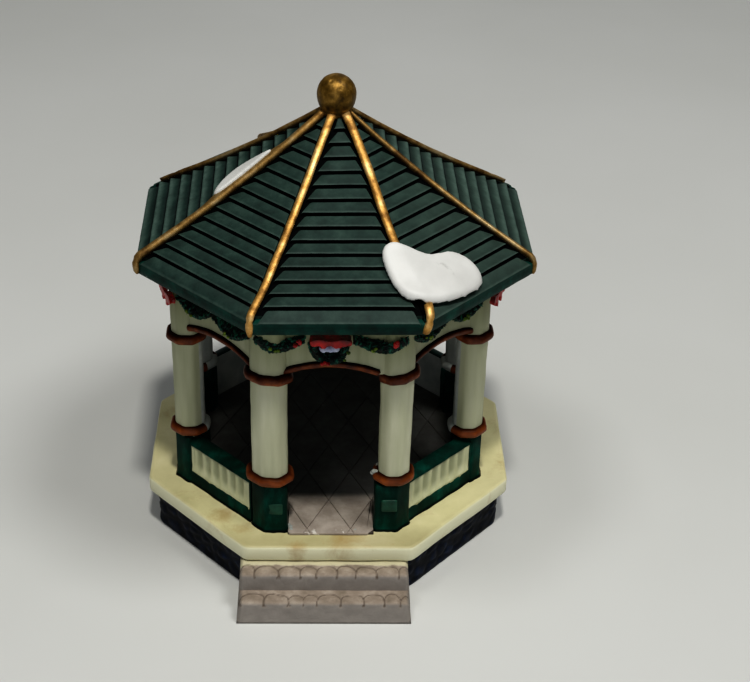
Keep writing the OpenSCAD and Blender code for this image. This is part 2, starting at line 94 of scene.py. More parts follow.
def new_paint(name, roughness, specular=0.5, metallic=0.0):
    """Starts a finish: returns the material, its tree, its shader and the Object coordinates."""
    paint = bpy.data.materials.new(name)
    paint.use_nodes = True
    tree = paint.node_tree
    tree.nodes.clear()
    settings = {"Roughness": roughness, "Specular IOR Level": specular, "Metallic": metallic}
    shader = add(tree, "ShaderNodeBsdfPrincipled", settings)
    add(tree, "ShaderNodeOutputMaterial", (), {"Surface": (shader, "BSDF")})
    coords = add(tree, "ShaderNodeTexCoord")
    return paint, tree, shader, coords


def mottled(tree, vector, scale, detail, stops, **settings):
    """A soft variation of colour: its clouds, about 1000 / scale millimetres apart, and their colours."""
    settings = {"Scale": scale, "Detail": detail, **settings}
    clouds = add(tree, "ShaderNodeTexNoise", settings, {"Vector": vector})
    return clouds, add(tree, "ShaderNodeValToRGB", {"stops": stops}, {"Fac": (clouds, "Fac")})


def over_hollows_and_shade(tree, coat, colour):
    """Another colour over a coat where the mesh marks it: in its hollows, and on some pieces painted shade.
    """
    wear_and_shade = add(tree, "ShaderNodeAttribute", {"attribute_name": "hollow"})
    return add(tree, "ShaderNodeMix", {"data_type": "RGBA", 7: linear(colour)}, {0: (wear_and_shade, "Fac"), 6: coat})


def inset(corners, distance):
    """The corners of a convex outline, anticlockwise, whose sides have all moved in."""
    made = []
    for i, corner in enumerate(corners):
        before = (corner - corners[i - 1]).normalized()
        after = (corners[(i + 1) % len(corners)] - corner).normalized()
        one, two = Vector((-before.y, before.x)), Vector((-after.y, after.x))
        made.append(corner + distance * (one + two) / (1 + one.dot(two)))
    return made


def round_outline(corners, radius, step):
    """Points and outward directions round a convex outline whose corners are rounded."""
    made = []
    for i, corner in enumerate(corners):
        following = corners[(i + 1) % len(corners)]
        before = (corner - corners[i - 1]).normalized()
        after = (following - corner).normalized()
        start = math.atan2(-before.x, before.y)
        sweep = math.atan2(before.cross(after), before.dot(after))
        parts = max(2, round(radius * sweep / step))
        for n in range(parts + 1):
            turn = start + sweep * n / parts
            way = Vector((math.cos(turn), math.sin(turn)))
            made.append((corner + radius * way, way))
        way = Vector((after.y, -after.x))
        run = (following - corner).length
        parts = max(1, round(run / step))
        for n in range(1, parts):
            made.append((corner + radius * way + after * run * n / parts, way))
    return made


def rough(point, grain, seed=0):
    """Even hand-made unevenness from -1 to 1, with swells about a grain apart."""
    return noise.noise(Vector(point) / grain + Vector((seed * 7.3, seed * 3.1, seed * 5.7)))


def ease(value, low, high):
    share = min(1.0, max(0.0, (value - low) / (high - low)))
    return share * share * (3 - 2 * share)


def joint(point, size, width):
    """0 in the joint between two stones, 1 on a stone: each stone is about that size."""
    near = noise.voronoi(Vector(a / b for a, b in zip(point, size)))[0]
    return ease(near[1] - near[0], 0.0, width)


def loft(skin, rings, paints=None, joined=False):
    """Skins a row of rings; their ends are closed unless the row joins round."""
    rows = [[skin.verts.new(p) for p in ring] for ring in rings]
    count = len(rows[0])
    for a, b in zip(rows, rows[1:] + (rows[:1] if joined else [])):
        for i in range(count):
            face = skin.faces.new((a[i], a[(i + 1) % count], b[(i + 1) % count], b[i]))
            face.material_index = paints[i] if paints else 0
    if not joined:
        skin.faces.new(rows[0])
        skin.faces.new(rows[-1])
    return rows


def as_object(name, skin):
    """Uses a skin up for the mesh of a new object in the scene."""
    mesh = bpy.data.meshes.new(name)
    skin.to_mesh(mesh)
    skin.free()
    made = bpy.data.objects.new(name, mesh)
    bpy.context.scene.collection.objects.link(made)
    return made


def fit(name, skin, finishes, slot, *nodes, crease=None):
    """Makes a skin drawn in millimetres a piece of the model, in place of those CAD nodes."""
    bmesh.ops.recalc_face_normals(skin, faces=skin.faces)
    bmesh.ops.scale(skin, vec=Vector((MM, MM, MM)), verts=skin.verts)
    piece = as_object(name, skin)
    piece.data.shade_smooth()
    if crease:
        piece.data.set_sharp_from_angle(angle=math.radians(crease))
    for finish in finishes:
        piece.data.materials.append(finish)
    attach(piece, "root")
    if nodes:
        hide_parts(*nodes)
    return piece


set_back, corner_round, stone_size = 2.4, 7, (4.6, 4.6, 3.6)
stones = bmesh.new()
hollow = stones.verts.layers.float.new("hollow")
around = round_outline(inset(platform_corners, set_back + corner_round), corner_round, 0.75)
courses = [foundation_top * n / 20 for n in range(21)]
rings = []
for height in courses:
    ring = []
    for point, way in around:
        at = Vector((point.x, point.y, height))
        depth = 0.42 * (1 - joint(at, stone_size, 0.4)) * ease(height, 0.4, 2.2)
        depth += 0.16 * (1 + rough(at, 3.2))
        ring.append(at - depth * Vector((way.x, way.y, 0)))
    rings.append(ring)
rows = loft(stones, rings)
for row, height in zip(rows, courses):
    for vert, (point, way) in zip(row, around):
        vert[hollow] = 0.8 * (1 - joint(Vector((point.x, point.y, height)), stone_size, 0.3))

# Acrylic craft paint over plaster, brushed thin: near-black in the joints, and slate blue or
# brownish where it is rubbed.
stone_paint, tree, shader, coords = new_paint("navy_black_acrylic", 0.5, specular=0.19)
blotch, tone = mottled(
    tree, (coords, "Object"), 260.0, 5.0,
    [(0.3, "#03050d"), (0.52, "#081226"), (0.68, "#132848"), (0.8, "#2c201f")], Roughness=0.6,
)
shade = over_hollows_and_shade(tree, (tone, "Color"), "#030305")
tree.links.new(shade.outputs[2], shader.inputs["Base Color"])
bump = add(tree, "ShaderNodeBump", {"Strength": 0.35, "Distance": 0.0004}, {"Height": (blotch, "Fac")})
tree.links.new(bump.outputs["Normal"], shader.inputs["Normal"])
fit("foundation_stones", stones, [stone_paint], "dark_stone", "foundation")

# ---- Platform ----
# One cast slab with well-rounded arrises, painted butter cream. Years on a shelf have left brown
# stains on its top and a few pinholes where bubbles stood in the plaster.

platform_top = 17.5
slab_radius, slab_arris = 3.0, 0.85

# where each stain lies, and how far it reaches
stain_spots = (
    (-32, -38, 6), (-24, -45, 5), (-9, -53.5, 4), (5, -51, 7), (54, -11, 6), (-52, 14, 6), (30, 46, 8),
)

slab = bmesh.new()
stained_here = slab.verts.layers.float.new("stained")
outline = round_outline(inset(platform_corners, slab_radius), slab_radius - slab_arris, 1.5)
levels = [(math.radians(a), foundation_top + slab_arris) for a in (-90, -60, -30, 0)]
levels += [(math.radians(a), platform_top - slab_arris) for a in (0, 30, 60, 90)]
rings = []
for turn, height in levels:
    ring = []
    up = height + slab_arris * math.sin(turn)
    for point, way in outline:
        out = slab_arris * math.cos(turn) - 0.18 * (1 + rough((point.x, point.y, height), 9))
        ring.append(Vector((point.x + way.x * out, point.y + way.y * out, up)))
    rings.append(ring)
for share in (0.985, 0.96, 0.93, 0.9, 0.87, 0.84, 0.8, 0.6, 0.3):
    ring = []
    for point, _ in outline:
        x, y = point.x * share, point.y * share
        ring.append(Vector((x, y, platform_top - 0.12 * (1 + rough((x, y, 0), 7)))))
    rings.append(ring)
for row in loft(slab, rings):
    for vert in row:
        near = [1 - math.hypot(vert.co.x - x, vert.co.y - y) / reach for x, y, reach in stain_spots]
        vert[stained_here] = max(0.0, *near)


def toned(tree, coat, colour, coords, axis, start, end, most, blend="MIX"):
    """Another colour over a coat, growing along a stretch of an axis from none to its most."""
    place = add(tree, "ShaderNodeSeparateXYZ", (), {"Vector": (coords, "Object")})
    span = {"From Min": start, "From Max": end, "To Max": most}
    share = add(tree, "ShaderNodeMapRange", span, {"Value": (place, axis)})
    settings = {"data_type": "RGBA", "blend_type": blend, 7: linear(colour)}
    return add(tree, "ShaderNodeMix", settings, {0: (share, "Result"), 6: coat})


def specks(tree, coords, scale, size, rarity, strength):
    """Rare small dots, in the middles of a few random cells that are 1000 / scale millimetres apart."""
    cells = add(tree, "ShaderNodeTexVoronoi", {"Scale": scale}, {"Vector": (coords, "Object")})
    dot_stops, rare_stops = [(size[0], 1.0), (size[1], 0.0)], [(rarity[0], 0.0), (rarity[1], strength)]
    dots = add(tree, "ShaderNodeValToRGB", {"stops": dot_stops}, {"Fac": (cells, "Distance")})
    rare = add(tree, "ShaderNodeValToRGB", {"stops": rare_stops}, {"Fac": (cells, "Color")})
    return add(tree, "ShaderNodeMath", {"operation": "MULTIPLY"}, {0: (dots, "Color"), 1: (rare, "Color")})


# Satin acrylic over plaster: butter cream with warm mottling, brown water stains and dark
# pinholes, greyer at the front, and painted light on its upright sides, which are mixed paler.
slab_paint, tree, shader, coords = new_paint("butter_cream_acrylic", 0.48, specular=0.4)
_, cream = mottled(
    tree, (coords, "Object"), 55.0, 6.0, [(0.3, "#c9c397"), (0.5, "#d8d2a6"), (0.72, "#e6dfb8")],
    Roughness=0.6,
)
patch = add(
    tree, "ShaderNodeTexNoise", {"Scale": 75.0, "Detail": 8.0, "Roughness": 0.72, "Distortion": 0.4},
    {"Vector": (coords, "Object")},
)
near_spot = add(tree, "ShaderNodeAttribute", {"attribute_name": "stained"})
heavier = add(
    tree, "ShaderNodeMath", {"operation": "MULTIPLY_ADD", 1: 0.24},
    {0: (near_spot, "Fac"), 2: (patch, "Fac")},
)
stain = add(tree, "ShaderNodeValToRGB", {"stops": [(0.55, 0.0), (0.78, 0.6)]}, {"Fac": (heavier, "Value")})
standing = add(tree, "ShaderNodeNewGeometry")
facing = add(tree, "ShaderNodeSeparateXYZ", (), {"Vector": (standing, "Normal")})
upright = add(tree, "ShaderNodeValToRGB", {"stops": [(0.4, 1.0), (0.8, 0.0)]}, {"Fac": (facing, "Z")})
# the top turns greyer towards its front edge
greyer_front = toned(tree, (cream, "Color"), "#d6d3cd", coords, "Y", -0.043, -0.0505, 0.75, "MULTIPLY")
# painted light: the upright sides are mixed paler than the top, as if lit more
lit_uprights = add(
    tree, "ShaderNodeMix", {"data_type": "RGBA", 7: linear("#e6e4c6")},
    {0: (upright, "Color"), 6: (greyer_front, 2)},
)
stained = add(
    tree, "ShaderNodeMix", {"data_type": "RGBA", 7: linear("#a98a50")}, {0: (stain, "Color"), 6: (lit_uprights, 2)},
)
pins = specks(tree, coords, 210.0, (0.035, 0.06), (0.9, 0.92), 1.0)
pinned = add(
    tree, "ShaderNodeMix", {"data_type": "RGBA", 7: linear("#3a2a18")}, {0: (pins, "Value"), 6: (stained, 2)},
)
tree.links.new(pinned.outputs[2], shader.inputs["Base Color"])
bump = add(tree, "ShaderNodeBump", {"Strength": 0.25, "Distance": 0.0003}, {"Height": (patch, "Fac")})
tree.links.new(bump.outputs["Normal"], shader.inputs["Normal"])
fit("platform_slab", slab, [slab_paint], "cream_paint", "platform")

# ---- Steps ----
# Two treads of the same casting, modelled as a row of river cobbles along each nosing. The outlines
# were cut into the master with a point, and a dark wash has settled in them.

step_half, step_shift = 24.5, -1.2
foundation_front, upper_front, lower_front, lower_top = -51.85, -60.25, -66.25, 6.8

# Matte acrylic with a dry-brushed wash: taupe on the treads, cooler grey on the risers, with
# the slab's cream slopped over the edge that lies against it.
cobble_paint, tree, shader, coords = new_paint("taupe_washed_acrylic", 0.72, specular=0.3)
mottle, tone = mottled(
    tree, (coords, "Object"), 240.0, 6.0, [(0.3, "#84796b"), (0.5, "#978b7e"), (0.7, "#aca194")],
    Roughness=0.65,
)
upright = add(tree, "ShaderNodeNewGeometry")
facing = add(tree, "ShaderNodeSeparateXYZ", (), {"Vector": (upright, "Normal")})
riser = add(tree, "ShaderNodeValToRGB", {"stops": [(0.2, 0.7), (0.9, 0.0)]}, {"Fac": (facing, "Z")})
cooler = add(
    tree, "ShaderNodeMix", {"data_type": "RGBA", 7: linear("#96928e")},
    {0: (riser, "Color"), 6: (tone, "Color")},
)
place = add(tree, "ShaderNodeSeparateXYZ", (), {"Vector": (coords, "Object")})
near_slab = add(
    tree, "ShaderNodeMapRange", {"From Min": -0.0562, "From Max": -0.0548, "To Max": 0.62},
    {"Value": (place, "Y")},
)
ragged = add(tree, "ShaderNodeMath", {"operation": "ADD"}, {0: (near_slab, "Result"), 1: (mottle, "Fac")})
slopped = add(tree, "ShaderNodeValToRGB", {"stops": [(0.72, 0.0), (0.95, 0.8)]}, {"Fac": (ragged, "Value")})
creamed = add(
    tree, "ShaderNodeMix", {"data_type": "RGBA", 7: linear("#c9c4a6")},
    {0: (slopped, "Color"), 6: (cooler, 2)},
)
shade = over_hollows_and_shade(tree, (creamed, 2), "#655a4f")
tree.links.new(shade.outputs[2], shader.inputs["Base Color"])
bump = add(tree, "ShaderNodeBump", {"Strength": 0.4, "Distance": 0.0004}, {"Height": (mottle, "Fac")})
tree.links.new(bump.outputs["Normal"], shader.inputs["Normal"])


def cobbled_step(name, back, front, top, seed, node):
    """One step: rings across it follow its section from the table up the riser to the back."""
    skin = bmesh.new()
    layer = skin.verts.layers.float.new("hollow")
    section = [(back, 0.0)]
    section += [(front - 0.8 * (1 - n / 12), top * n / 14) for n in range(13)]
    turns = [math.radians(a) for a in (15, 30, 45, 60, 75, 90)]
    section += [(front + 1 - math.cos(turn), top - 1 + math.sin(turn)) for turn in turns]
    treads = round((back - front) / 0.45)
    section += [(front + 1 + (back - front - 1) * n / treads, top) for n in range(1, treads + 1)]
    middle = (back - 2.0, top * 0.4)
    rings, depths = [], []
    random.seed(seed)
    joints = [-step_half]
    while joints[-1] < step_half:
        joints.append(joints[-1] + random.uniform(3.8, 7.4))
    stations = [-1 + 2 * n / 140 for n in range(141)]
    for share in stations:
        ring, deep = [], []
        for y, z in section:
            edge = ease(abs(share), 0.955, 1.0)
            x = share * (step_half + 0.8 * (1 - z / top))
            at = Vector((x + seed * 31, y + seed, z * 1.2))
            along = share * step_half + 0.55 * rough(at, 3.0)
            stone = max(i for i, edge_at in enumerate(joints) if edge_at <= max(along, -step_half))
            half = (joints[stone + 1] - joints[stone]) / 2 if stone + 1 < len(joints) else 2.5
            off_side = abs(along - joints[stone] - half) / half
            walked = (y - front - 0.6) if z >= top - 0.01 else z - top + 0.4
            off_row = abs(walked - 0.7 + 0.9 * rough(at, 5.0, 4)) / (3.0 + 0.7 * rough(at, 6.0, 6))
            inside = 1 - (off_side**2.4 + off_row**2.4) ** (1 / 2.4)
            near_row = 1 - ease(off_row, 1.0, 1.16)
            if z < top - 0.01:
                near_row *= ease(z, top - 1.5, top - 0.8)
            gap = (1 - ease(abs(inside), 0.0, 0.11)) * near_row
            dome = (1 - ease(inside, 0.0, 0.5)) * near_row
            inward = Vector((0, middle[0] - y, middle[1] - z))
            inward = inward.normalized() if inward.length > 0 else inward
            sink = 0.12 * gap + 0.2 * dome + 0.13 * (1 + rough(at, 3)) + 1.1 * edge * edge
            if z <= 0.01 or y >= back - 0.01:
                sink, gap = 0.0, 0.0
            ring.append(Vector((x + step_shift, y, z)) + inward * sink)
            deep.append(gap)
        rings.append(ring)
        depths.append(deep)
    for row, deep in zip(loft(skin, rings), depths):
        for vert, gap in zip(row, deep):
            vert[layer] = gap
    return fit(name, skin, [cobble_paint], "cobble_grey", node)


cobbled_step("upper_cobbles", foundation_front, upper_front, foundation_top, 1, "upper_step")
cobbled_step("lower_cobbles", upper_front, lower_front, lower_top, 2, "lower_step")

# ---- Paving ----
# Long diamond flags cut into the casting's floor, each one a shallow pad with a chamfered edge, on a
# bed that shows as the joint. The floor runs out between the entrance posts as a threshold.

floor_top, floor_apothem, sill_front, door_half = 18.3, 42.2, -48.4, 12.6
flag_half_width, flag_half_length, flag_start = 6.4, 13.7, -32.4
door_aside = 0.6


def clip(corners, way, reach):
    """The part of a convex outline that lies within reach along one direction."""
    made = []
    for i, corner in enumerate(corners):
        last = corners[i - 1]
        a, b = last.dot(way) - reach, corner.dot(way) - reach
        if a * b < 0:
            made.append(last + (corner - last) * a / (a - b))
        if b <= 0:
            made.append(corner)
    return made


def area(corners):
    return sum(corners[i - 1].cross(c) for i, c in enumerate(corners)) / 2


flags = bmesh.new()
bay_ways = [Vector((math.sin(k * math.pi / 4), -math.cos(k * math.pi / 4))) for k in range(8)]
left, right, front = Vector((-1, 0)), Vector((1, 0)), Vector((0, -1))
for row in range(-3, 8):
    for column in range(-8, 9):
        centre = Vector((column * flag_half_width, flag_start + flag_half_length * row))
        if (row + column) % 2 == 0:
            continue
        flag = [centre + Vector((0, -flag_half_length)), centre + Vector((flag_half_width, 0))]
        flag += [centre + Vector((0, flag_half_length)), centre + Vector((-flag_half_width, 0))]
        for way in bay_ways[1:]:
            flag = clip(flag, way, floor_apothem) if flag else flag
        flag = clip(flag, front, -sill_front) if flag else flag
        if not flag:
            continue
        parts = [flag]
        if any(-p.y > floor_apothem and abs(p.x) > door_half for p in flag):
            parts = [clip(clip(flag, left, door_half - door_aside), right, door_half + door_aside)]
            for way in (left, right):
                parts.append(clip(clip(flag, -way, -door_half - door_aside * way.x), front, floor_apothem))
        for part in parts:
            if len(part) < 3 or area(part) < 0.8:
                continue
            pad = [p for i, p in enumerate(part) if (p - part[i - 1]).length > 0.3]
            bevel = 1.0 if len(pad) >= 3 and area(inset(pad, 0.6)) > 0.5 else 0.3
            if len(pad) < 3 or area(inset(pad, 0.6 * bevel)) < 0.1:
                continue
            lift = 0.07 * rough((centre.x, centre.y, 3), 2.7)
            chamfer = [(platform_top, 0.06), (floor_top - 0.28, 0.06)]
            chamfer += [(floor_top - 0.12 + lift, 0.22), (floor_top - 0.07 + lift, 0.6)]
            loft(flags, [[Vector((p.x, p.y, z)) for p in inset(pad, deep * bevel)] for z, deep in chamfer])
bed_outline = []
for k, way in enumerate(bay_ways):
    corner_way = Vector((math.sin((k + 0.5) * math.pi / 4), -math.cos((k + 0.5) * math.pi / 4)))
    if k == 0:
        bed_front = sill_front + 0.5
        for side, y in ((-1, -floor_apothem), (-1, bed_front), (1, bed_front), (1, -floor_apothem)):
            bed_outline.append(Vector((side * door_half + door_aside, y)))
    bed_outline.append(corner_way * floor_apothem / math.cos(math.pi / 8))
bed = [[Vector((p.x, p.y, z)) for p in bed_outline] for z in (platform_top - 0.3, floor_top - 0.36)]
loft(flags, bed, [1] * len(bed_outline))
for face in flags.faces:
    if len(face.verts) == len(bed_outline):
        face.material_index = 1

# Matte acrylic with a grey-brown wash: soft taupe pads, blue-black painted shade over all that lies
# inside under the roof, and chips of bare white plaster at the sill.
flag_paint, tree, shader, coords = new_paint("taupe_floor_acrylic", 0.7, specular=0.3)
mottle, tone = mottled(
    tree, (coords, "Object"), 170.0, 7.0, [(0.3, "#948a7f"), (0.5, "#a89e93"), (0.7, "#bbb2a7")],
    Roughness=0.65,
)
chip = add(
    tree, "ShaderNodeTexNoise", {"Scale": 420.0, "Detail": 2.0, "Distortion": 0.5},
    {"Vector": (coords, "Object")},
)
# painted shade: the floor darkens to blue-black behind the line of the roof's shadow
painted_interior_shade = toned(tree, (tone, "Color"), "#8c9396", coords, "Y", -0.0315, -0.029, 1.0, "MULTIPLY")
place = add(tree, "ShaderNodeSeparateXYZ", (), {"Vector": (coords, "Object")})
sill = add(
    tree, "ShaderNodeMapRange", {"From Min": -0.0405, "From Max": -0.0485, "To Max": 0.16},
    {"Value": (place, "Y")},
)
likely = add(tree, "ShaderNodeMath", {"operation": "ADD"}, {0: (chip, "Fac"), 1: (sill, "Result")})
bare = add(tree, "ShaderNodeValToRGB", {"stops": [(0.79, 0.0), (0.83, 0.9)]}, {"Fac": (likely, "Value")})
shade = add(
    tree, "ShaderNodeMix", {"data_type": "RGBA", 7: linear("#dcd8cf")}, {0: (bare, "Color"), 6: (painted_interior_shade, 2)},
)
tree.links.new(shade.outputs[2], shader.inputs["Base Color"])
bump = add(tree, "ShaderNodeBump", {"Strength": 0.4, "Distance": 0.0003}, {"Height": (mottle, "Fac")})
tree.links.new(bump.outputs["Normal"], shader.inputs["Normal"])

# The wash that has dried in the joints: matte, dark and a little uneven.
joint_paint, tree, shader, coords = new_paint("dark_umber_wash", 0.85)
_, tone = mottled(tree, (coords, "Object"), 300.0, 3.0, [(0.35, "#3d362f"), (0.65, "#574f46")])
tree.links.new(tone.outputs["Color"], shader.inputs["Base Color"])
fit("diamond_flags", flags, [flag_paint, joint_paint], "cobble_grey", "paving", crease=35)

# ---- Corner posts ----
# Eight blocks that carry the columns, cast with the walls and painted bottle green. The paint was
# drawn down over the slab with a loaded brush, so each foot ends in a soft, wavy edge.

post_apothem, post_face, entrance_cheek, post_depth, post_top = 46.6, 6.0, 0.7, 9.4, 33.9
right_bay_longer = 1.5
eighth = math.pi / 8
corner_turns = [(k - 0.5) * math.pi / 4 for k in range(8)]


def turned(point, turn):
    """A point drawn for the bay or corner towards -Y, moved round the axis to its own."""
    c, s = math.cos(turn), math.sin(turn)
    return Vector((point[0] * c - point[1] * s, point[0] * s + point[1] * c, point[2]))


def post_corners(left_face, right_face):
    """Plan of a post, drawn with the building's corner towards -Y."""
    arris = Vector((0, -post_apothem / math.cos(eighth)))
    back = Vector((0, -(post_apothem - post_depth) / math.cos(eighth)))
    ends = []
    for side, face in ((-1, left_face), (1, right_face)):
        outer = arris + face * Vector((side * math.cos(eighth), math.sin(eighth)))
        ends.append((outer, outer + post_depth * Vector((-side * math.sin(eighth), math.cos(eighth)))))
    return [arris, ends[1][0], ends[1][1], back, ends[0][1], ends[0][0]]


# Satin acrylic, two coats: bottle green, near-black where it is thick, with teal streaks that are partly
# brushwork and partly painted sheen, and a painted shadow line where the foot meets the slab.
green_paint, tree, shader, coords = new_paint("bottle_green_acrylic", 0.45, specular=0.1)
strokes = add(tree, "ShaderNodeMapping", {"Scale": (1.0, 1.0, 0.45)}, {"Vector": (coords, "Object")})
coat, tone = mottled(
    tree, (strokes, "Vector"), 150.0, 6.0,
    [(0.3, "#011d17"), (0.52, "#03342a"), (0.66, "#074e41"), (0.78, "#187c6c")], Roughness=0.62,
)
# painted shadow: a near-black line along the foot, where it meets the slab
shade = toned(tree, (tone, "Color"), "#010606", coords, "Z", 0.0184, 0.0179, 0.9)
tree.links.new(shade.outputs[2], shader.inputs["Base Color"])
bump = add(tree, "ShaderNodeBump", {"Strength": 0.3, "Distance": 0.0004}, {"Height": (coat, "Fac")})
tree.links.new(bump.outputs["Normal"], shader.inputs["Normal"])

# Bare bisque where no brush reached, on all that faces the inside: chalky and pale grey.
bisque, tree, shader, coords = new_paint("bare_bisque", 0.8, specular=0.25)
dust, tone = mottled(
    tree, (coords, "Object"), 130.0, 6.0, [(0.3, "#9da19c"), (0.55, "#b4b7b0"), (0.75, "#c6c8c0")],
    Roughness=0.6,
)
tree.links.new(tone.outputs["Color"], shader.inputs["Base Color"])
bump = add(tree, "ShaderNodeBump", {"Strength": 0.3, "Distance": 0.0003}, {"Height": (dust, "Fac")})
tree.links.new(bump.outputs["Normal"], shader.inputs["Normal"])

posts = bmesh.new()
post_levels = [(platform_top - 0.1, 0.75), (platform_top + 0.35, 0.45), (platform_top + 0.9, 0.15)]
post_levels += [(platform_top + 2 + 1.5 * n, 0.0) for n in range(9)]
post_levels += [(post_top - 0.7, 0.0), (post_top - 0.2, -0.2), (post_top, -0.65)]
for k, turn in enumerate(corner_turns):
    # the entrance posts are wider towards the door, and one gives way to the longer bay on the right
    faces = [post_face + (entrance_cheek if k == door_side else 0) for door_side in (1, 0)]
    if k == 2:
        faces[0] -= right_bay_longer
    plan = round_outline(inset(post_corners(*faces), 0.9), 0.9, 1.1)
    rings = []
    for z, out in post_levels:
        ring = []
        for point, way in plan:
            at = turned((point.x, point.y, z), turn)
            push = out * (0.55 + 0.9 * abs(rough(at, 3.1))) if out > 0 else out
            push -= 0.12 * (1 + rough(at, 4))
            aside = door_aside if k < 2 else 0.0
            ring.append(turned((point.x + way.x * push + aside, point.y + way.y * push, z), turn))
        rings.append(ring)
    loft(posts, rings)
plaque_corners = [Vector(p) for p in ((-2.3, -2.1), (2.3, -2.1), (2.3, 2.1), (-2.3, 2.1))]
for side, across, high in ((-1, -door_half - 3.1, 8.2), (1, door_half + 5.0, 9.5)):
    rings = []
    for out, shrink in ((-1.0, 0.0), (0.0, 0.0), (0.12, 0.15), (0.18, 0.5)):
        ring = []
        for point, way in round_outline(inset(plaque_corners, 0.5), 0.5, 0.6):
            point = point - way * shrink
            y = -post_apothem - out + 0.05 * rough((point.x, point.y, side), 1.5)
            ring.append(Vector((across + point.x, y, platform_top + high + point.y)))
        rings.append(ring)
    loft(posts, rings, [1] * len(rings[0]))
for face in posts.faces:
    middle = face.calc_center_median()
    on_plaque = middle.y < -post_apothem - 0.1 and middle.z < post_top - 3
    if len(face.verts) == len(rings[0]) and on_plaque:
        face.material_index = 1

# The same green let down with white, on the plaques.
pale_green, tree, shader, coords = new_paint("pale_green_acrylic", 0.45, specular=0.4)
_, tone = mottled(tree, (coords, "Object"), 260.0, 5.0, [(0.35, "#0a3a2b"), (0.65, "#205a45")], Roughness=0.6)
tree.links.new(tone.outputs["Color"], shader.inputs["Base Color"])
fit("green_posts", posts, [green_paint, pale_green], "green_paint", "corner_posts")

# ---- Low walls ----
# Seven dwarf walls between the posts, cast with them: a plinth, two stiles and a sloping coping frame
# each recess. They are bottle green outside and over the coping, and bare bisque on the inside.

wall_outer, wall_inner, wall_top, coping_fall = 46.2, 42.2, 33.5, 1.2
recess_half, recess_low, recess_high, recess_deep = 12.9, 21.7, 31.3, 1.6
wall_ends = (12.8, 13.0, 13.2, 13.6)
bay_turns = [k * math.pi / 4 for k in range(8)]

for k in range(1, 8):
    wall = bmesh.new()
    longer = right_bay_longer if k == 1 else 0.0
    stops = [-s for s in reversed(wall_ends)]
    stops += [-wall_ends[0] + (2 * wall_ends[0] + longer) * n / 20 for n in range(1, 20)]
    stops += [s + longer for s in wall_ends]
    rings = []
    for s in stops:
        open_here = -recess_half < s < recess_half + longer
        wave = 0.35 + 0.4 * rough((s, k * 9, 0), 3.2)
        wave_high = 0.16 * rough((s, k * 9, 5), 2.6)
        sunk = recess_deep if open_here else 0.0
        low, high = recess_low + wave, recess_high + wave_high
        foot = 0.5 * (0.7 + 0.5 * rough((s, k * 5, 2), 4.6))
        lip = wall_outer - (0.3 if open_here else 0)
        eaves = wall_top - coping_fall
        section = [
            (wall_outer + foot, platform_top - 0.1), (wall_outer + foot * 0.4, platform_top + 0.5),
            (wall_outer, platform_top + 1.1), (wall_outer, low - 0.3), (wall_outer - 0.12, low - 0.08),
            (lip, low), (wall_outer - sunk, low + 0.1), (wall_outer - sunk, high - 0.1), (lip, high),
            (wall_outer - 0.1, high + 0.2), (wall_outer, high + 0.4), (wall_outer, eaves - 0.4),
            (wall_outer - 0.15, eaves - 0.08), (wall_outer - 0.5, eaves + 0.1),
            (wall_inner + 2.4, wall_top - 0.45), (wall_inner + 1.2, wall_top - 0.12),
            (wall_inner + 0.5, wall_top), (wall_inner + 0.12, wall_top - 0.12),
            (wall_inner, wall_top - 0.5), (wall_inner, wall_top - 3.0), (wall_inner, platform_top - 0.1),
        ]
        ring = []
        for d, z in section:
            wear_and_shade = 0.1 * (1 + rough((s, d * 2 + k * 20, z), 3.0))
            ring.append(turned((s, -(d - wear_and_shade), z), bay_turns[k]))
        rings.append(ring)
    loft(wall, rings, [0] * 18 + [1, 1, 1])
    fit(f"green_wall_{k}", wall, [green_paint, bisque], "green_paint", f"low_wall_{k}", crease=50)

# ---- Fluted panels ----
# The infill of each low wall, seven upright pads with grooves between them, picked out in cream with
# a loaded brush that gathers in a pale bead along the lower edge. Painted shade darkens the grooves
# and the upper part of each panel, under the coping.

flute_count = 7
panels = bmesh.new()
hollow = panels.verts.layers.float.new("hollow")
for k in range(1, 8):
    rings, marks = [], []
    width = 2 * recess_half + (right_bay_longer if k == 1 else 0.0)
    for n in range(71):
        s = -recess_half + width * n / 70
        share = (s + recess_half) / width * flute_count
        edge = abs(share - round(share)) * 2 if 0.3 < share < flute_count - 0.3 else 1.0
        groove = 1 - ease(edge, 0.02, 1.0)
        ring, mark = [], []
        for m in range(13):
            z = recess_low - 0.15 + (recess_high - recess_low + 0.3) * m / 12
            rise = (z - recess_low) / (recess_high - recess_low)
            sink = groove * ease(rise, 0.1, 0.45) * (1 - 0.3 * ease(rise, 0.85, 1.0))
            at = (s + 40 * k, rise * 8, 0)
            face = wall_outer - 0.2 - 0.42 * sink - 0.08 * (1 + rough(at, 2))
            face += 0.15 * (1 - ease(rise, 0.0, 0.22))
            ring.append(turned((s, -face, z), bay_turns[k]))
            # painted shade: deepest in the grooves, and over the panel's upper part, under the coping
            mark.append(min(1.0, sink + 0.28 * ease(rise, 0.25, 0.55)))
        for z in (recess_high + 0.15, recess_low - 0.15):
            ring.append(turned((s, -(wall_outer - recess_deep - 0.1), z), bay_turns[k]))
        rings.append(ring)
        marks.append(mark + [0.0, 0.0])
    for row, mark in zip(loft(panels, rings), marks):
        for vert, value in zip(row, mark):
            vert[hollow] = value
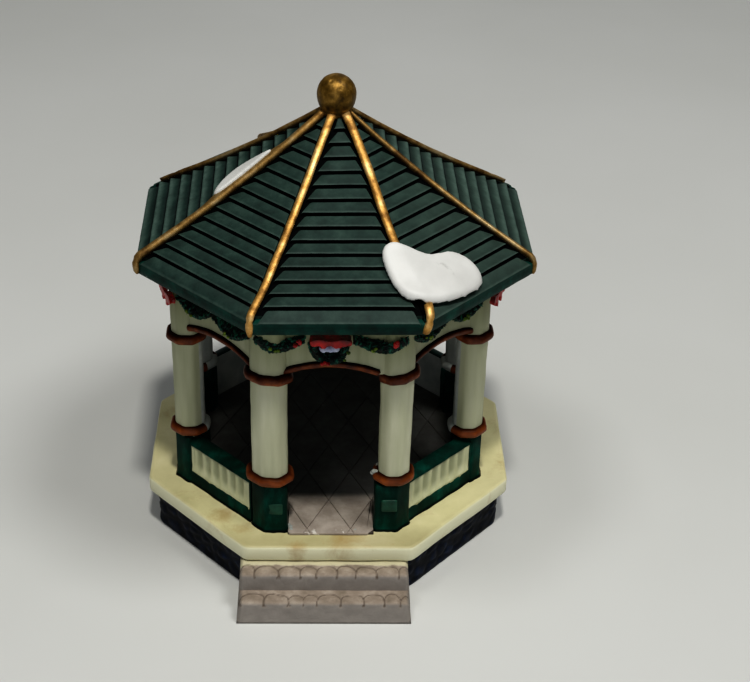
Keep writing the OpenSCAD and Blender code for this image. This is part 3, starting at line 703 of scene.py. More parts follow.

# Satin acrylic over bisque: pale cream, with olive-grey painted shade in the grooves and under the coping.
panel_paint, tree, shader, coords = new_paint("pale_cream_acrylic", 0.5, specular=0.4)
streak = add(tree, "ShaderNodeMapping", {"Scale": (1.0, 1.0, 0.3)}, {"Vector": (coords, "Object")})
brush, tone = mottled(
    tree, (streak, "Vector"), 320.0, 5.0, [(0.3, "#c6c8a4"), (0.55, "#d8d9b6"), (0.75, "#e6e6c8")],
    Roughness=0.6,
)
wear_and_shade = add(tree, "ShaderNodeAttribute", {"attribute_name": "hollow"})
painted_flute_shade = add(tree, "ShaderNodeMath", {"operation": "MULTIPLY", 1: 0.62}, {0: (wear_and_shade, "Fac")})
shade = add(
    tree, "ShaderNodeMix", {"data_type": "RGBA", 7: linear("#7c8266")},
    {0: (painted_flute_shade, "Value"), 6: (tone, "Color")},
)
tree.links.new(shade.outputs[2], shader.inputs["Base Color"])
bump = add(tree, "ShaderNodeBump", {"Strength": 0.3, "Distance": 0.0002}, {"Height": (brush, "Fac")})
tree.links.new(bump.outputs["Normal"], shader.inputs["Normal"])
fit("fluted_infill", panels, [panel_paint], "panel_cream", "fluted_panels")

# ---- Columns ----
# Eight octagonal columns, modelled by hand in the master, so their flats are a little crowned and
# their arrises rubbed soft. Cream outside, and bare bisque on the side towards the axis.

column_ring, column_half, column_sides, soffit = 45.4, 4.6, 48, 91.3


def column_place(k, across, z):
    """The two columns at the entrance came out of the mould wide, and the right one leans and tapers."""
    rise = (z - post_top) / (soffit - post_top)
    if k == 0:
        return 0.15 + across * 1.2
    if k == 1:
        return 1.45 + 0.25 * rise + across * (1.03 + 0.065 * rise)
    return across


def octagon_reach(turn, half, blunt):
    """Distance from an octagon's centre to its side, with its arrises rubbed to a blunt round."""
    off = (turn + eighth) % (2 * eighth) - eighth
    return min(half / math.cos(eighth - abs(off)), half / math.cos(eighth) * blunt)


# Satin acrylic over bisque, brushed lengthwise: grey-cream with faint streaks and a few dark specks.
# Painted shade greys it where it goes in under the eaves; the columns at the sides are a touch darker.
column_paint, tree, shader, coords = new_paint("grey_cream_acrylic", 0.5, specular=0.4)
length = add(tree, "ShaderNodeMapping", {"Scale": (1.0, 1.0, 0.12)}, {"Vector": (coords, "Object")})
streak, tone = mottled(
    tree, (length, "Vector"), 210.0, 4.0, [(0.3, "#b3b598"), (0.5, "#c4c5a9"), (0.72, "#d0d0b8")],
    Roughness=0.55,
)
pins = specks(tree, coords, 260.0, (0.04, 0.07), (0.92, 0.94), 0.8)
# painted shade: greyer from the columns' heads up through the frieze, under the eaves
painted_eave_shade = toned(tree, (tone, "Color"), "#c9ccbc", coords, "Z", 0.067, 0.082, 1.0, "MULTIPLY")
place = add(tree, "ShaderNodeSeparateXYZ", (), {"Vector": (coords, "Object")})
# a touch darker on the columns out at the sides
aside = add(tree, "ShaderNodeMath", {"operation": "ABSOLUTE"}, {0: (place, "X")})
at_side = add(
    tree, "ShaderNodeMapRange", {"From Min": 0.026, "From Max": 0.033, "To Max": 1.0},
    {"Value": (aside, "Value")},
)
darker_at_sides = add(
    tree, "ShaderNodeMix", {"data_type": "RGBA", "blend_type": "MULTIPLY", 7: linear("#ebece7")},
    {0: (at_side, "Result"), 6: (painted_eave_shade, 2)},
)
shade = add(
    tree, "ShaderNodeMix", {"data_type": "RGBA", 7: linear("#4c4a3a")}, {0: (pins, "Value"), 6: (darker_at_sides, 2)},
)
tree.links.new(shade.outputs[2], shader.inputs["Base Color"])
bump = add(tree, "ShaderNodeBump", {"Strength": 0.3, "Distance": 0.0003}, {"Height": (streak, "Fac")})
tree.links.new(bump.outputs["Normal"], shader.inputs["Normal"])

for k, turn in enumerate(corner_turns):
    column = bmesh.new()
    rings = []
    for n in range(30):
        z = post_top - 0.3 + (soffit - post_top + 0.5) * n / 29
        ring = []
        for i in range(column_sides):
            angle = 2 * math.pi * i / column_sides
            reach = octagon_reach(angle, column_half, 0.962)
            at = (math.cos(angle) * 4 + k * 30, math.sin(angle) * 4, z)
            reach -= 0.13 * (1 + rough(at, 7)) + 0.04 * (1 + rough(at, 2))
            x = column_place(k, reach * math.sin(angle), z)
            ring.append(turned((x, -column_ring - reach * math.cos(angle), z), turn))
        rings.append(ring)
    turns = [2 * math.pi * (i + 0.5) / column_sides for i in range(column_sides)]
    inside = [1 if math.cos(angle) < -0.45 else 0 for angle in turns]
    loft(column, rings, inside)
    fit(f"turned_column_{k + 1}", column, [column_paint, bisque], "column_cream", f"column_{k + 1}")

# ---- Collars ----
# A rope-thick band round each column at its foot and head, pressed on by hand and painted chestnut on
# the outside. The brush stopped short behind, where the bare bisque shows as pale tips.

upper_collar, collar_height, collar_proud, collar_sides = 67.5, 3.4, 1.5, 40

# Satin acrylic: chestnut brown, more orange on the lower bands, and painted shade, nearly black and
# dull, in the corner above each band and along its underside.
brown_paint, tree, shader, coords = new_paint("chestnut_acrylic", 0.42)
coat, tone = mottled(
    tree, (coords, "Object"), 210.0, 5.0, [(0.3, "#411c0d"), (0.5, "#6d3617"), (0.7, "#a05a29")],
    Roughness=0.6,
)
oranger_low_bands = toned(tree, (tone, "Color"), "#a4602f", coords, "Z", 0.05, 0.045, 0.3)
# painted shade: near-black in the corner above each band and along its underside
shade = over_hollows_and_shade(tree, (oranger_low_bands, 2), "#160705")
tree.links.new(shade.outputs[2], shader.inputs["Base Color"])
wear_and_shade = add(tree, "ShaderNodeAttribute", {"attribute_name": "hollow"})
sheen = add(
    tree, "ShaderNodeMapRange", {"From Min": 0.0, "From Max": 0.8, "To Min": 0.32, "To Max": 0.0},
    {"Value": (wear_and_shade, "Fac")},
)
tree.links.new(sheen.outputs["Result"], shader.inputs["Specular IOR Level"])
bump = add(tree, "ShaderNodeBump", {"Strength": 0.3, "Distance": 0.0004}, {"Height": (coat, "Fac")})
tree.links.new(bump.outputs["Normal"], shader.inputs["Normal"])


def dab(skin, centre, size, seed, squash=0.75):
    """A dab of thick paint: a small rounded lump with an uneven outline."""
    rings = []
    for n in range(1, 7):
        polar = math.pi * n / 7
        ring = []
        for i in range(10):
            angle = 2 * math.pi * i / 10
            level = math.sin(polar)
            way = Vector((level * math.cos(angle), level * math.sin(angle), math.cos(polar)))
            swell = size * (1 + 0.28 * rough(way * 2, 1.2, seed))
            ring.append(centre + Vector((way.x * swell, way.y * swell, way.z * swell * squash)))
        rings.append(ring)
    loft(skin, rings)


bands = bmesh.new()
hollow = bands.verts.layers.float.new("hollow")
# a band's section, from its underside over its face to its top, and how much painted shade it gets there
band_turns = (-90, -60, -30, 0, 30, 60, 90, 100)
band_shading = (0.6, 0.3, 0.0, 0.0, 0.25, 0.75, 1.0, 1.0)
upper_lift = [1.1, 1.3, 0, 0, 0, 0, 0, -1.1]
upper_slant = [0, 0.5, 0, 0, 0, 0, 0, 0]
for k, turn in enumerate(corner_turns):
    for base in (post_top, upper_collar):
        upper = base == upper_collar
        rings = []
        for i in range(collar_sides):
            angle = 2 * math.pi * i / collar_sides
            wall = octagon_reach(angle, column_half, 0.985)
            at = (math.cos(angle) * 5 + k * 20, math.sin(angle) * 5, base)
            proud = collar_proud * (0.92 + 0.12 * rough(at, 2.5))
            tall = collar_height / 2 * (0.95 + 0.07 * rough(at, 3))
            sway = 0.18 * rough(at, 6) + (upper_lift[k] + upper_slant[k] * math.sin(angle) if upper else 0)
            if k < 2 and upper:
                sway += 0.8 * math.cos(angle) - 0.1
                proud -= 1.0 * ease(-math.sin(angle), 0.5, 0.9) * k
            ring = []
            for a in band_turns:
                out = wall - 0.8 if a == 100 else wall - 0.35 + (proud + 0.35) * math.cos(math.radians(a))
                up = base + collar_height / 2 + sway + tall * math.sin(math.radians(min(a, 90)))
                x = column_place(k, out * math.sin(angle), base)
                ring.append(turned((x, -column_ring - out * math.cos(angle), max(post_top, up)), turn))
            rings.append(ring)
        for row in loft(bands, rings, joined=True):
            for vert, value in zip(row, band_shading):
                vert[hollow] = value
bands.faces.ensure_lookup_table()
for face in bands.faces:
    middle = face.calc_center_median()
    nearest = min(corner_turns, key=lambda t: (turned((0, -column_ring, middle.z), t) - middle).length)
    side_corner = corner_turns.index(nearest) in (2, 7) and middle.z < upper_collar - 1
    centre = turned((0, -column_ring, middle.z), nearest)
    behind = (centre - middle).normalized().dot(Vector((centre.x, centre.y, 0)).normalized())
    face.material_index = 1 if behind > (0.6 if side_corner else 0.8) else 0
fit("chestnut_collars", bands, [brown_paint, bisque], "brown_paint", "collars")

# Crumbs of bare bisque: three behind a lower collar at the entrance, and four on the threshold.
collar_tips = ((-4.4, 44.6, 37.0, 0.8), (-4.9, 44.4, 36.4, 0.7), (-3.9, 45.0, 37.2, 0.6))
floor_crumbs = ((-11.3, -45.2, 0.8), (-11.0, -46.4, 0.7), (-11.7, -44.3, 0.6), (7.8, -46.6, 0.5))
bare_bits = bmesh.new()
for n, (across, out, z, size) in enumerate(collar_tips):
    dab(bare_bits, turned((across, -out, z), corner_turns[1]), size, n)
for n, (x, y, size) in enumerate(floor_crumbs):
    dab(bare_bits, Vector((x, y, floor_top - 0.2)), size, n + 5, 0.45)
fit("bare_bits", bare_bits, [bisque], "column_cream")

# ---- Frieze and arches ----
# The band between the column heads, cut to a flat arch below, with a half-round moulding laid along
# each arch. Frieze in the columns' cream; moulding chestnut, with a painted shadow line along its top.

arch_outer, arch_inner, arch_base, arch_rise, arch_half = 44.2, 40.4, 71.4, 2.5, 12.77
arch_radius = (arch_half**2 + arch_rise**2) / (2 * arch_rise)


def arch_height(s):
    return arch_base + arch_rise - arch_radius + math.sqrt(max(0.0, arch_radius**2 - s * s))


frieze_half, door_frieze_length = 13.2, 28.2
for k in range(8):
    panel = bmesh.new()
    length = door_frieze_length if k == 0 else 2 * frieze_half
    rings = []
    for n in range(33):
        s = -frieze_half + length * n / 32
        low = arch_height(min(arch_half, abs(s)))
        section = [(arch_outer, z) for z in (low + 0.3, low + 2.5, 82.0, 88.0, soffit + 0.1)]
        section += [(arch_inner, z) for z in (soffit + 0.1, 82.0, low + 0.4)]
        section += [(arch_inner + 0.35, low), (arch_outer - 0.3, low)]
        ring = []
        for d, z in section:
            wear_and_shade = 0.08 * (1 + rough((s + k * 30, z, 1), 4)) if d == arch_outer else 0
            ring.append(turned((s, -(d - wear_and_shade), z), bay_turns[k]))
        rings.append(ring)
    loft(panel, rings, [0, 0, 0, 0, 1, 1, 1, 1, 1, 0])
    fit(f"frieze_{k + 1}", panel, [column_paint, bisque], "cream_paint", f"arch_panel_{k + 1}", crease=50)

mouldings = bmesh.new()
hollow = mouldings.verts.layers.float.new("hollow")
trim_radius, trim_half = 1.05, 13.9
for k in range(8):
    rings = []
    for n in range(49):
        share = -1 + n / 24
        s = trim_half * share
        end = math.sqrt(max(0.0, 1 - max(0.0, (abs(share) - 0.955) / 0.045) ** 2))
        thick_and_shade = max(0.12, end) * trim_radius * (1 + 0.1 * rough((s + 40 * k, 0, 0), 3))
        middle = arch_height(min(arch_half, abs(s))) + trim_radius - (0.35 * max(0, abs(s) - arch_half))
        middle += 0.12 * rough((s + 40 * k, 7, 0), 5)
        lean = math.asin(max(-0.99, min(0.99, s / arch_radius)))
        ring = []
        for a in range(-90, 271, 36):
            out = arch_outer - 0.25 + (thick_and_shade + 0.2) * max(-0.6, math.sin(math.radians(a + 90)))
            up = thick_and_shade * 1.04 * math.cos(math.radians(a + 90)) * -1
            ring.append(turned((s + up * math.sin(lean), -out, middle + up * math.cos(lean)), bay_turns[k]))
        rings.append(ring[:-1])
    for row in loft(mouldings, rings):
        top = max(v.co.z for v in row)
        low = min(v.co.z for v in row)
        for vert in row:
            # painted shadow: the upper part of each moulding's section goes dark
            vert[hollow] = ease((vert.co.z - low) / max(0.1, top - low), 0.62, 0.9)
fit("arch_mouldings", mouldings, [brown_paint], "brown_paint", "arch_trims")

# ---- Roof ----
# Eight bell-cast slopes of fifteen lapped boards. The roof was cast on its own and glued on a little
# off the axis; the boards are dry-brushed grey-green, and black wash fills the laps between them,
# doubling as painted shade under each board's lower edge.

roof_shift, roof_turn = Vector((1.1, 0.5, 0)), math.radians(1)
eave_ring, eave_top, roof_rise, roof_sag, shell = 60.7, 96.4, 37.7, 1.95, 4.5
eave_apothem = eave_ring * math.cos(eighth)
board_count, board_lap, lip_drop = 15, 0.9, 1.2
top_share = 3.5 / eave_apothem
seat_share = (column_ring * math.cos(eighth) - column_half - 0.5) / eave_apothem


def roof_height(share):
    return eave_top + roof_rise * (1 - share) - 4 * roof_sag * share * (1 - share)


def under_height(share):
    return roof_height(share) - shell if share < seat_share else soffit


def on_roof(point, turn):
    """A point drawn for the bay towards -Y, set on its own slope. The front right hip runs off its line."""
    reach = math.hypot(point[0], point[1])
    place = turned(point, turn)
    off_hip = abs(math.atan2(place.x, -place.y) - eighth)
    drift = (0.5 + 1.3 * (1 - ease(reach, 14, 40))) * (1 - ease(reach, 50, 57))
    drift *= max(0.0, 1 - off_hip / (2 * eighth))
    place += drift * Vector((math.cos(eighth), math.sin(eighth), 0))
    return turned(place, roof_turn) + roof_shift


# Matte acrylic, dry-brushed over a dark ground: slate green, made lighter to the right as painted
# sheen, with rubbed grey edges and small chips.
board_paint, tree, shader, coords = new_paint("slate_green_dry_brush", 0.6, specular=0.25)
grain, tone = mottled(
    tree, (coords, "Object"), 190.0, 7.0, [(0.3, "#1a2a26"), (0.52, "#253a34"), (0.74, "#374c44")],
    Roughness=0.66,
)
# painted sheen: the boards grow lighter towards the right
painted_right_sheen = toned(tree, (tone, "Color"), "#46544b", coords, "X", 0.012, 0.026, 0.3)
wear_and_shade = add(tree, "ShaderNodeAttribute", {"attribute_name": "rubbed"})
brushed = add(tree, "ShaderNodeTexNoise", {"Scale": 420.0, "Detail": 3.0}, {"Vector": (coords, "Object")})
uneven = add(tree, "ShaderNodeMath", {"operation": "MULTIPLY"}, {0: (wear_and_shade, "Fac"), 1: (brushed, "Fac")})
# lighter where the mark is above zero: dry-brushed edges, and painted highlight on the side slopes
edge = add(
    tree, "ShaderNodeMix", {"data_type": "RGBA", 7: linear("#6f857b")},
    {0: (uneven, "Value"), 6: (painted_right_sheen, 2)},
)
# painted shade: near-black where the mark is below zero, on the side slopes' boards
thick_and_shade = add(tree, "ShaderNodeMath", {"operation": "MULTIPLY", 1: -1.0}, {0: (wear_and_shade, "Fac")})
painted_valley_shade = add(
    tree, "ShaderNodeMix", {"data_type": "RGBA", 7: linear("#080e10")}, {0: (thick_and_shade, "Value"), 6: (edge, 2)},
)
pins = specks(tree, coords, 240.0, (0.05, 0.08), (0.93, 0.95), 0.8)
chipped = add(
    tree, "ShaderNodeMix", {"data_type": "RGBA", 7: linear("#83784f")}, {0: (pins, "Value"), 6: (painted_valley_shade, 2)},
)
tree.links.new(chipped.outputs[2], shader.inputs["Base Color"])
bump = add(tree, "ShaderNodeBump", {"Strength": 0.4, "Distance": 0.0004}, {"Height": (grain, "Fac")})
tree.links.new(bump.outputs["Normal"], shader.inputs["Normal"])

# The wash in the laps, flat blue-black; it is also painted shade under each board's lower edge.
lap_paint, tree, shader, coords = new_paint("black_wash_and_shade", 0.8, specular=0.08)
_, tone = mottled(tree, (coords, "Object"), 200.0, 3.0, [(0.35, "#010203"), (0.65, "#05080a")])
tree.links.new(tone.outputs["Color"], shader.inputs["Base Color"])

# Satin acrylic on the fascia, brushed along: a deeper, bluer green than the boards.
fascia_paint, tree, shader, coords = new_paint("deep_green_acrylic", 0.48, specular=0.2)
coat, tone = mottled(
    tree, (coords, "Object"), 160.0, 6.0, [(0.32, "#03211b"), (0.55, "#053a31"), (0.8, "#0f5a4c")],
    Roughness=0.65,
)
tree.links.new(tone.outputs["Color"], shader.inputs["Base Color"])
bump = add(tree, "ShaderNodeBump", {"Strength": 0.35, "Distance": 0.0004}, {"Height": (coat, "Fac")})
tree.links.new(bump.outputs["Normal"], shader.inputs["Normal"])


def board_share(n):
    return top_share + (1 - top_share) * n / board_count


lip_top = eave_top - lip_drop
fascia_section = [
    (53.5, soffit), (55.5, soffit), (eave_apothem - 0.35, soffit + 0.05), (eave_apothem - 0.05, soffit + 0.4),
    (eave_apothem, soffit + 1.6), (eave_apothem, lip_top - 0.8), (eave_apothem - 0.1, lip_top - 0.4),
    (eave_apothem - 0.45, lip_top - 0.2), (53.5, lip_top),
]
# on the two side slopes the boards get painted shade along their upper parts and a painted
# highlight towards their lower edges, in place of the rubbing
side_slope_shading = (0, 0, -0.7, -0.5, 0.75, 0.6, 0, 0, 0)
for k, turn in enumerate(bay_turns):
    slope = bmesh.new()
    rubbed = slope.verts.layers.float.new("rubbed")
    # the deck under the boards, with the soffit and the inside of the shell
    shares = [top_share + (seat_share - 0.001 - top_share) * n / 8 for n in range(9)]
    shares += [seat_share, 0.8, 0.96]
    rings = []
    for share in shares:
        d = share * eave_apothem
        half = d * math.tan(eighth) - 0.15
        top = roof_height(share) - board_lap - 0.5
        under = under_height(share)
        section = ((-half, -d, top), (half, -d, top), (half, -d, under), (-half, -d, under))
        rings.append([on_roof(p, turn) for p in section])
    loft(slope, rings, [1, 1, 3, 1])
    # the fascia, a strip with rounded arrises
    rings = []
    for n in range(41):
        along = -1 + n / 20
        ring = []
        for d, z in fascia_section:
            half = d * math.tan(eighth) - 0.3
            at = (along * half + k * 50, d, z)
            ring.append(on_roof((along * half, -(d - 0.1 * (1 + rough(at, 4))), z), turn))
        rings.append(ring)
    loft(slope, rings, [3, 3] + [2] * 7)
    # the boards
    for n in range(1, board_count + 1):
        high, low = board_share(n - 1), board_share(n)
        d_high, d_low = high * eave_apothem, low * eave_apothem
        lowest = n == board_count
        z_high, z_low = roof_height(high) - board_lap, roof_height(low) - (lip_drop if lowest else 0)
        under = 0.0 if lowest else 0.55
        fall = (z_low - z_high) / (d_low - d_high)
        wobble = 0.1 * rough((n * 3.1, k * 5.3, 0), 1.0)
        # out, up, how much shorter than the slope is wide, and how rubbed
        profile = [
            (d_high - 0.2, z_high - 0.9, 1.3, 0.0),
            (d_high + 0.05, z_high - 0.15 + wobble, 1.3, 0.0),
            (d_high + 0.25, z_high + 0.25 * fall + wobble - 0.04, 1.1, 0.14),
            (d_high + 0.5, z_high + 0.5 * fall + wobble, 0.9, 0.16),
            (d_low - 0.6, z_low - 0.6 * fall + wobble, 0.1, 0.0),
            (d_low - 0.2, z_low + 0.06 + wobble, 0.0, 0.3),
            (d_low - 0.02, z_low - 0.08, 0.0, 0.4),
            (d_low, z_low - 0.24, 0.0, 0.1),
            (d_low - under, z_low - board_lap - 0.35, 0.0, 0.0),
        ]
        span = max(4, round(d_low * math.tan(eighth) * 2 / 2.2))
        outer_half = d_low * math.tan(eighth)
        places = [-1.0, -1.0 + 0.35 / outer_half, -1.0 + 0.8 / outer_half]
        middles = [-1 + 2 * (m + 1) / (span + 2) for m in range(1, span)]
        places = places + middles + [-p for p in reversed(places)]
        clear = 1.55 + 0.2 * rough((n, k, 4), 1.0)
        splays = (1.0, 0.35) if k in (0, 5, 6, 7) else (0.35, 1.0)
        rings = []
        for m, u in enumerate(places):
            drop = 0.55 if m in (0, len(places) - 1) else 0.12 if m in (1, len(places) - 2) else 0.0
            ring = []
            for d, z, splay, _ in profile:
                half = max(0.4, d * math.tan(eighth) - clear - splay * splays[0 if u < 0 else 1])
                jut = 0.08 * rough((u * half + 60 * k, n * 4, 0), 3.0)
                lift = 0.05 * rough((u * half + 60 * k, n * 4, z), 2.5)
                ring.append(on_roof((u * half, -(d + jut), z - drop + lift), turn))
            rings.append(ring)
        # black lap paint at both ends of each board's section: wash, and painted shade under the board above
        rows = loft(slope, rings, [1, 1, 0, 0, 0, 0] + ([0, 2, 2] if lowest else [1, 1, 1]))
        for m, row in enumerate(rows):
            end = 0.2 if m in (0, 1, len(rows) - 2, len(rows) - 1) else 0.0
            for vert, (_, _, _, rub), side_value in zip(row, profile, side_slope_shading):
                vert[rubbed] = side_value if k in (2, 6) else max(rub, end)
    finishes = [board_paint, lap_paint, fascia_paint, bisque]
    fit(f"lapped_slope_{k + 1}", slope, finishes, "roof_green", f"roof_panel_{k + 1}", crease=40)

# ---- Gilt ribs ----
# Half-round ribs over the hips, each one a roll of clay laid on the master, so it swells and thins. It
# is nicked over the eaves and ends in a drop on the fascia. Two at the back stop short, and the front
# right one is broken off at the snow, with its drop askew.

rib_halves = [1.1, 1.3, 0.85, 0.75, 1.0, 1.0, 0.75, 1.3]
rib_ends = [-0.5, 1.0, 0.1, 0.1, 0.1, 0.1, 0.1, 0.1]
rib_break, stops_short = 56.2, (3, 6)
hip_shares = [top_share + (1 - top_share) * n / 44 for n in range(44)]
ribs = bmesh.new()
for k, turn in enumerate(corner_turns):
    path = [(share * eave_ring, roof_height(share)) for share in hip_shares]
    path += [
        (eave_ring - 0.5, eave_top - 0.3), (eave_ring - 0.1, eave_top - 1.0),
        (eave_ring, eave_top - 1.8), (eave_ring, eave_top - 3.0),
        (eave_ring - 0.05, eave_top - 4.2), (eave_ring - 0.25, soffit + rib_ends[k]),
    ]
    if k in stops_short:
        path = path[:-8]
    drop_from = next((n for n, (d, z) in enumerate(path) if d > rib_break), 0)
    rings = []
    for n, (d, z) in enumerate(path):
        ahead, behind = path[min(n + 1, len(path) - 1)], path[max(n - 1, 0)]
        way = Vector((ahead[0] - behind[0], ahead[1] - behind[1])).normalized()
        up = Vector((-way.y, way.x))
        left_over = len(path) - 1 - n
        swell = 1 + 0.1 * rough((d, k * 9, 0), 4) + 0.05 * rough((d, k * 9, 3), 1.5)
        if left_over == 4:
            swell *= 0.72
        if left_over < 3:
            swell *= (0.55, 0.85, 1.0)[left_over]
        if k in stops_short and left_over < 6:
            swell *= 0.4 + 0.1 * left_over
        half = rib_halves[k] * swell
        tall = 0.72 * rib_halves[k] * swell
        aside = -0.5 * ease(d, 50, 60) if k == 0 else 0
        if k == 1:
            dropped = (n - drop_from) / (len(path) - 1 - drop_from)
            aside = 0.9 * ease(d, 50, 58) if n < drop_from else 2.1 - 2.4 * dropped
        sway = 0.12 * rough((d, k * 9, 8), 7) + aside
        ring = []
        for a in (-35, 0, 30, 60, 90, 120, 150, 180, 215):
            across = half * math.cos(math.radians(a)) * (0.75 if a in (-35, 215) else 1)
            if k == 7 and a > 90:
                across -= 1.5 * ease(d, 15, 22) * (1 - ease(d, 32, 42))
            rise = tall * math.sin(math.radians(a)) if 0 <= a <= 180 else -1.1
            ring.append(on_roof((across + sway, -(d + up.x * rise), z + up.y * rise + 0.12), turn))
        rings.append(ring)
    if k == 1:
        loft(ribs, rings[:drop_from - 1])
        rings = rings[drop_from:]
    loft(ribs, rings)

# Antique gold craft paint: metal flake in a clear binder, bright where it is rubbed, brown where it
# is thin, and darker and cooler on the ribs at the sides and back.
gilt, tree, shader, coords = new_paint("antique_gold_paint", 0.5, metallic=0.6)
flake = add(
    tree, "ShaderNodeTexNoise", {"Scale": 330.0, "Detail": 6.0, "Roughness": 0.65},
    {"Vector": (coords, "Object")},
)
cover = add(
    tree, "ShaderNodeTexNoise", {"Scale": 75.0, "Detail": 4.0, "Roughness": 0.6},
    {"Vector": (coords, "Object")},
)
both = add(tree, "ShaderNodeMath", {"operation": "ADD"}, {0: (flake, "Fac"), 1: (cover, "Fac")})
mean = add(tree, "ShaderNodeMath", {"operation": "MULTIPLY", 1: 0.5}, {0: (both, "Value")})
gold_stops = [(0.4, "#86622f"), (0.5, "#c49a56"), (0.62, "#e6c68e")]
tone = add(tree, "ShaderNodeValToRGB", {"stops": gold_stops}, {"Fac": (mean, "Value")})
place = add(tree, "ShaderNodeSeparateXYZ", (), {"Vector": (coords, "Object")})
aside = add(tree, "ShaderNodeMath", {"operation": "ABSOLUTE"}, {0: (place, "X")})
round_back = add(tree, "ShaderNodeMath", {"operation": "ADD"}, {0: (aside, "Value"), 1: (place, "Y")})
darker_aside = add(
    tree, "ShaderNodeMapRange", {"From Min": -0.002, "From Max": 0.006, "To Max": 0.85},
    {"Value": (round_back, "Value")},
)
shade = add(
    tree, "ShaderNodeMix", {"data_type": "RGBA", "blend_type": "MULTIPLY", 7: linear("#b4bccb")},
    {0: (darker_aside, "Result"), 6: (tone, "Color")},
)
tree.links.new(shade.outputs[2], shader.inputs["Base Color"])
matte = add(
    tree, "ShaderNodeMapRange", {"From Min": 0.35, "From Max": 0.65, "To Min": 0.58, "To Max": 0.42},
    {"Value": (cover, "Fac")},
)
tree.links.new(matte.outputs["Result"], shader.inputs["Roughness"])
bump = add(tree, "ShaderNodeBump", {"Strength": 0.45, "Distance": 0.0003}, {"Height": (flake, "Fac")})
tree.links.new(bump.outputs["Normal"], shader.inputs["Normal"])
fit("gilt_ribs", ribs, [gilt], "gilt_paint", "hip_ribs")

# ---- Finial ----
# A ball pressed on to a short neck at the peak, with the ribs' ends smeared up against it. It is gilt
# like the ribs, and pitted where bubbles broke at the surface of the casting.

ball_radius, ball_height, neck_half, pit_count = 5.65, 136.1, 3.55, 34
random.seed(11)
pits = []
for _ in range(pit_count):
    way = Vector((random.gauss(0, 1), random.gauss(0, 1), random.gauss(0, 1))).normalized()
    pits.append((way, random.uniform(0.35, 0.8)))
knob = bmesh.new()
rings = []
for n in range(1, 40):
    polar = math.pi * n / 40
    ring = []
    for i in range(64):
        angle = 2 * math.pi * i / 64
        level = math.sin(polar)
        way = Vector((level * math.sin(angle), -level * math.cos(angle), -math.cos(polar)))
        dent = 0.07 * (1 + rough(way * 5, 3)) + 0.02 * (1 + rough(way * 5, 0.8))
        for centre, size in pits:
            apart = (way - centre).length * ball_radius
            if apart < size:
                dent += 0.22 * (1 - (apart / size) ** 2)
        spot = way * (ball_radius - dent)
        spot.z *= 1.26 if way.z < 0 else 1.0
        ring.append(spot + Vector((0, 0, ball_height)) + roof_shift)
    rings.append(ring)
loft(knob, rings)
neck = []
for n in range(9):
    z = roof_height(top_share) - shell + (ball_height - 4.2 - roof_height(top_share) + shell) * n / 8
    swell = 1 + 0.22 * ease(z, 131.0, 133.0)
    ring = []
    for i in range(40):
        angle = 2 * math.pi * i / 40
        reach = neck_half * swell * octagon_reach(angle, 1, 0.97)
        ring.append(on_roof((reach * math.sin(angle), -reach * math.cos(angle), z), 0))
    neck.append(ring)
loft(knob, neck)

# The ball's gold, darker than the ribs': dull and olive-dark, mottled with brighter gold.
ball_gilt, tree, shader, coords = new_paint("olive_gold_paint", 0.42, metallic=0.6)
flake, tone = mottled(
    tree, (coords, "Object"), 300.0, 6.0, [(0.35, "#4a3712"), (0.52, "#7c6026"), (0.7, "#ad8c4a")],
    Roughness=0.65,
)
tree.links.new(tone.outputs["Color"], shader.inputs["Base Color"])
bump = add(tree, "ShaderNodeBump", {"Strength": 0.5, "Distance": 0.0003}, {"Height": (flake, "Fac")})
tree.links.new(bump.outputs["Normal"], shader.inputs["Normal"])
fit("gilt_ball", knob, [ball_gilt], "gilt_paint", "finial")

# ---- Garlands and wreaths ----
# Swags of evergreen round the frieze and a wreath at the front and back, modelled in relief. Sprigs
# stand out of a dark core, with lime-green leaves and red berries dabbed on to each swag.

garland_core = bmesh.new()
garland_core.from_mesh(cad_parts["garlands"].data)
bmesh.ops.remove_doubles(garland_core, verts=garland_core.verts, dist=1e-6)
bmesh.ops.scale(garland_core, vec=Vector((1000, 1000, 1000)), verts=garland_core.verts)
bmesh.ops.recalc_face_normals(garland_core, faces=garland_core.faces)
garland_core.normal_update()
front_swag_back, front_swag_half = -43.5, 22.5


def as_hung(point):
    """A place on the front swags as they hang: ends pressed up under the eaves, the right one longer."""
    if point.y > front_swag_back or abs(point.x) > front_swag_half:
        return Vector(point)
    along = point.x
    if along > 2.5:
        along += 2.6 * ease(along, 6.9, 19.7) - ease(along, 2.5, 6.0)
    if along < -6.0:
        along -= 1.2 * ease(-along, 6.9, 19.7)
    lift = 0.8 * ease(abs(point.x), 6.0, 8.0) + 1.9 * ease(abs(point.x), 12.0, 20.0) ** 2
    return Vector((along, point.y, point.z + lift))


for vert in garland_core.verts:
    vert.co = as_hung(vert.co - vert.normal * 0.3)
surface = garland_core.copy()

# Satin acrylic in two greens: sea-green highlights dragged over a blue-black ground.
sprig_paint, tree, shader, coords = new_paint("evergreen_acrylic", 0.45, specular=0.3)
coat = add(tree, "ShaderNodeTexNoise", {"Scale": 380.0, "Detail": 4.0}, {"Vector": (coords, "Object")})
tint = add(tree, "ShaderNodeAttribute", {"attribute_name": "tint"})
both = add(tree, "ShaderNodeMath", {"operation": "MULTIPLY"}, {0: (coat, "Fac"), 1: (tint, "Fac")})
tone = add(
    tree, "ShaderNodeValToRGB", {"stops": [(0.06, "#04120f"), (0.28, "#0b382d"), (0.52, "#256b57")]},
    {"Fac": (both, "Value")},
)
tree.links.new(tone.outputs["Color"], shader.inputs["Base Color"])
bump = add(tree, "ShaderNodeBump", {"Strength": 0.4, "Distance": 0.0003}, {"Height": (coat, "Fac")})
tree.links.new(bump.outputs["Normal"], shader.inputs["Normal"])
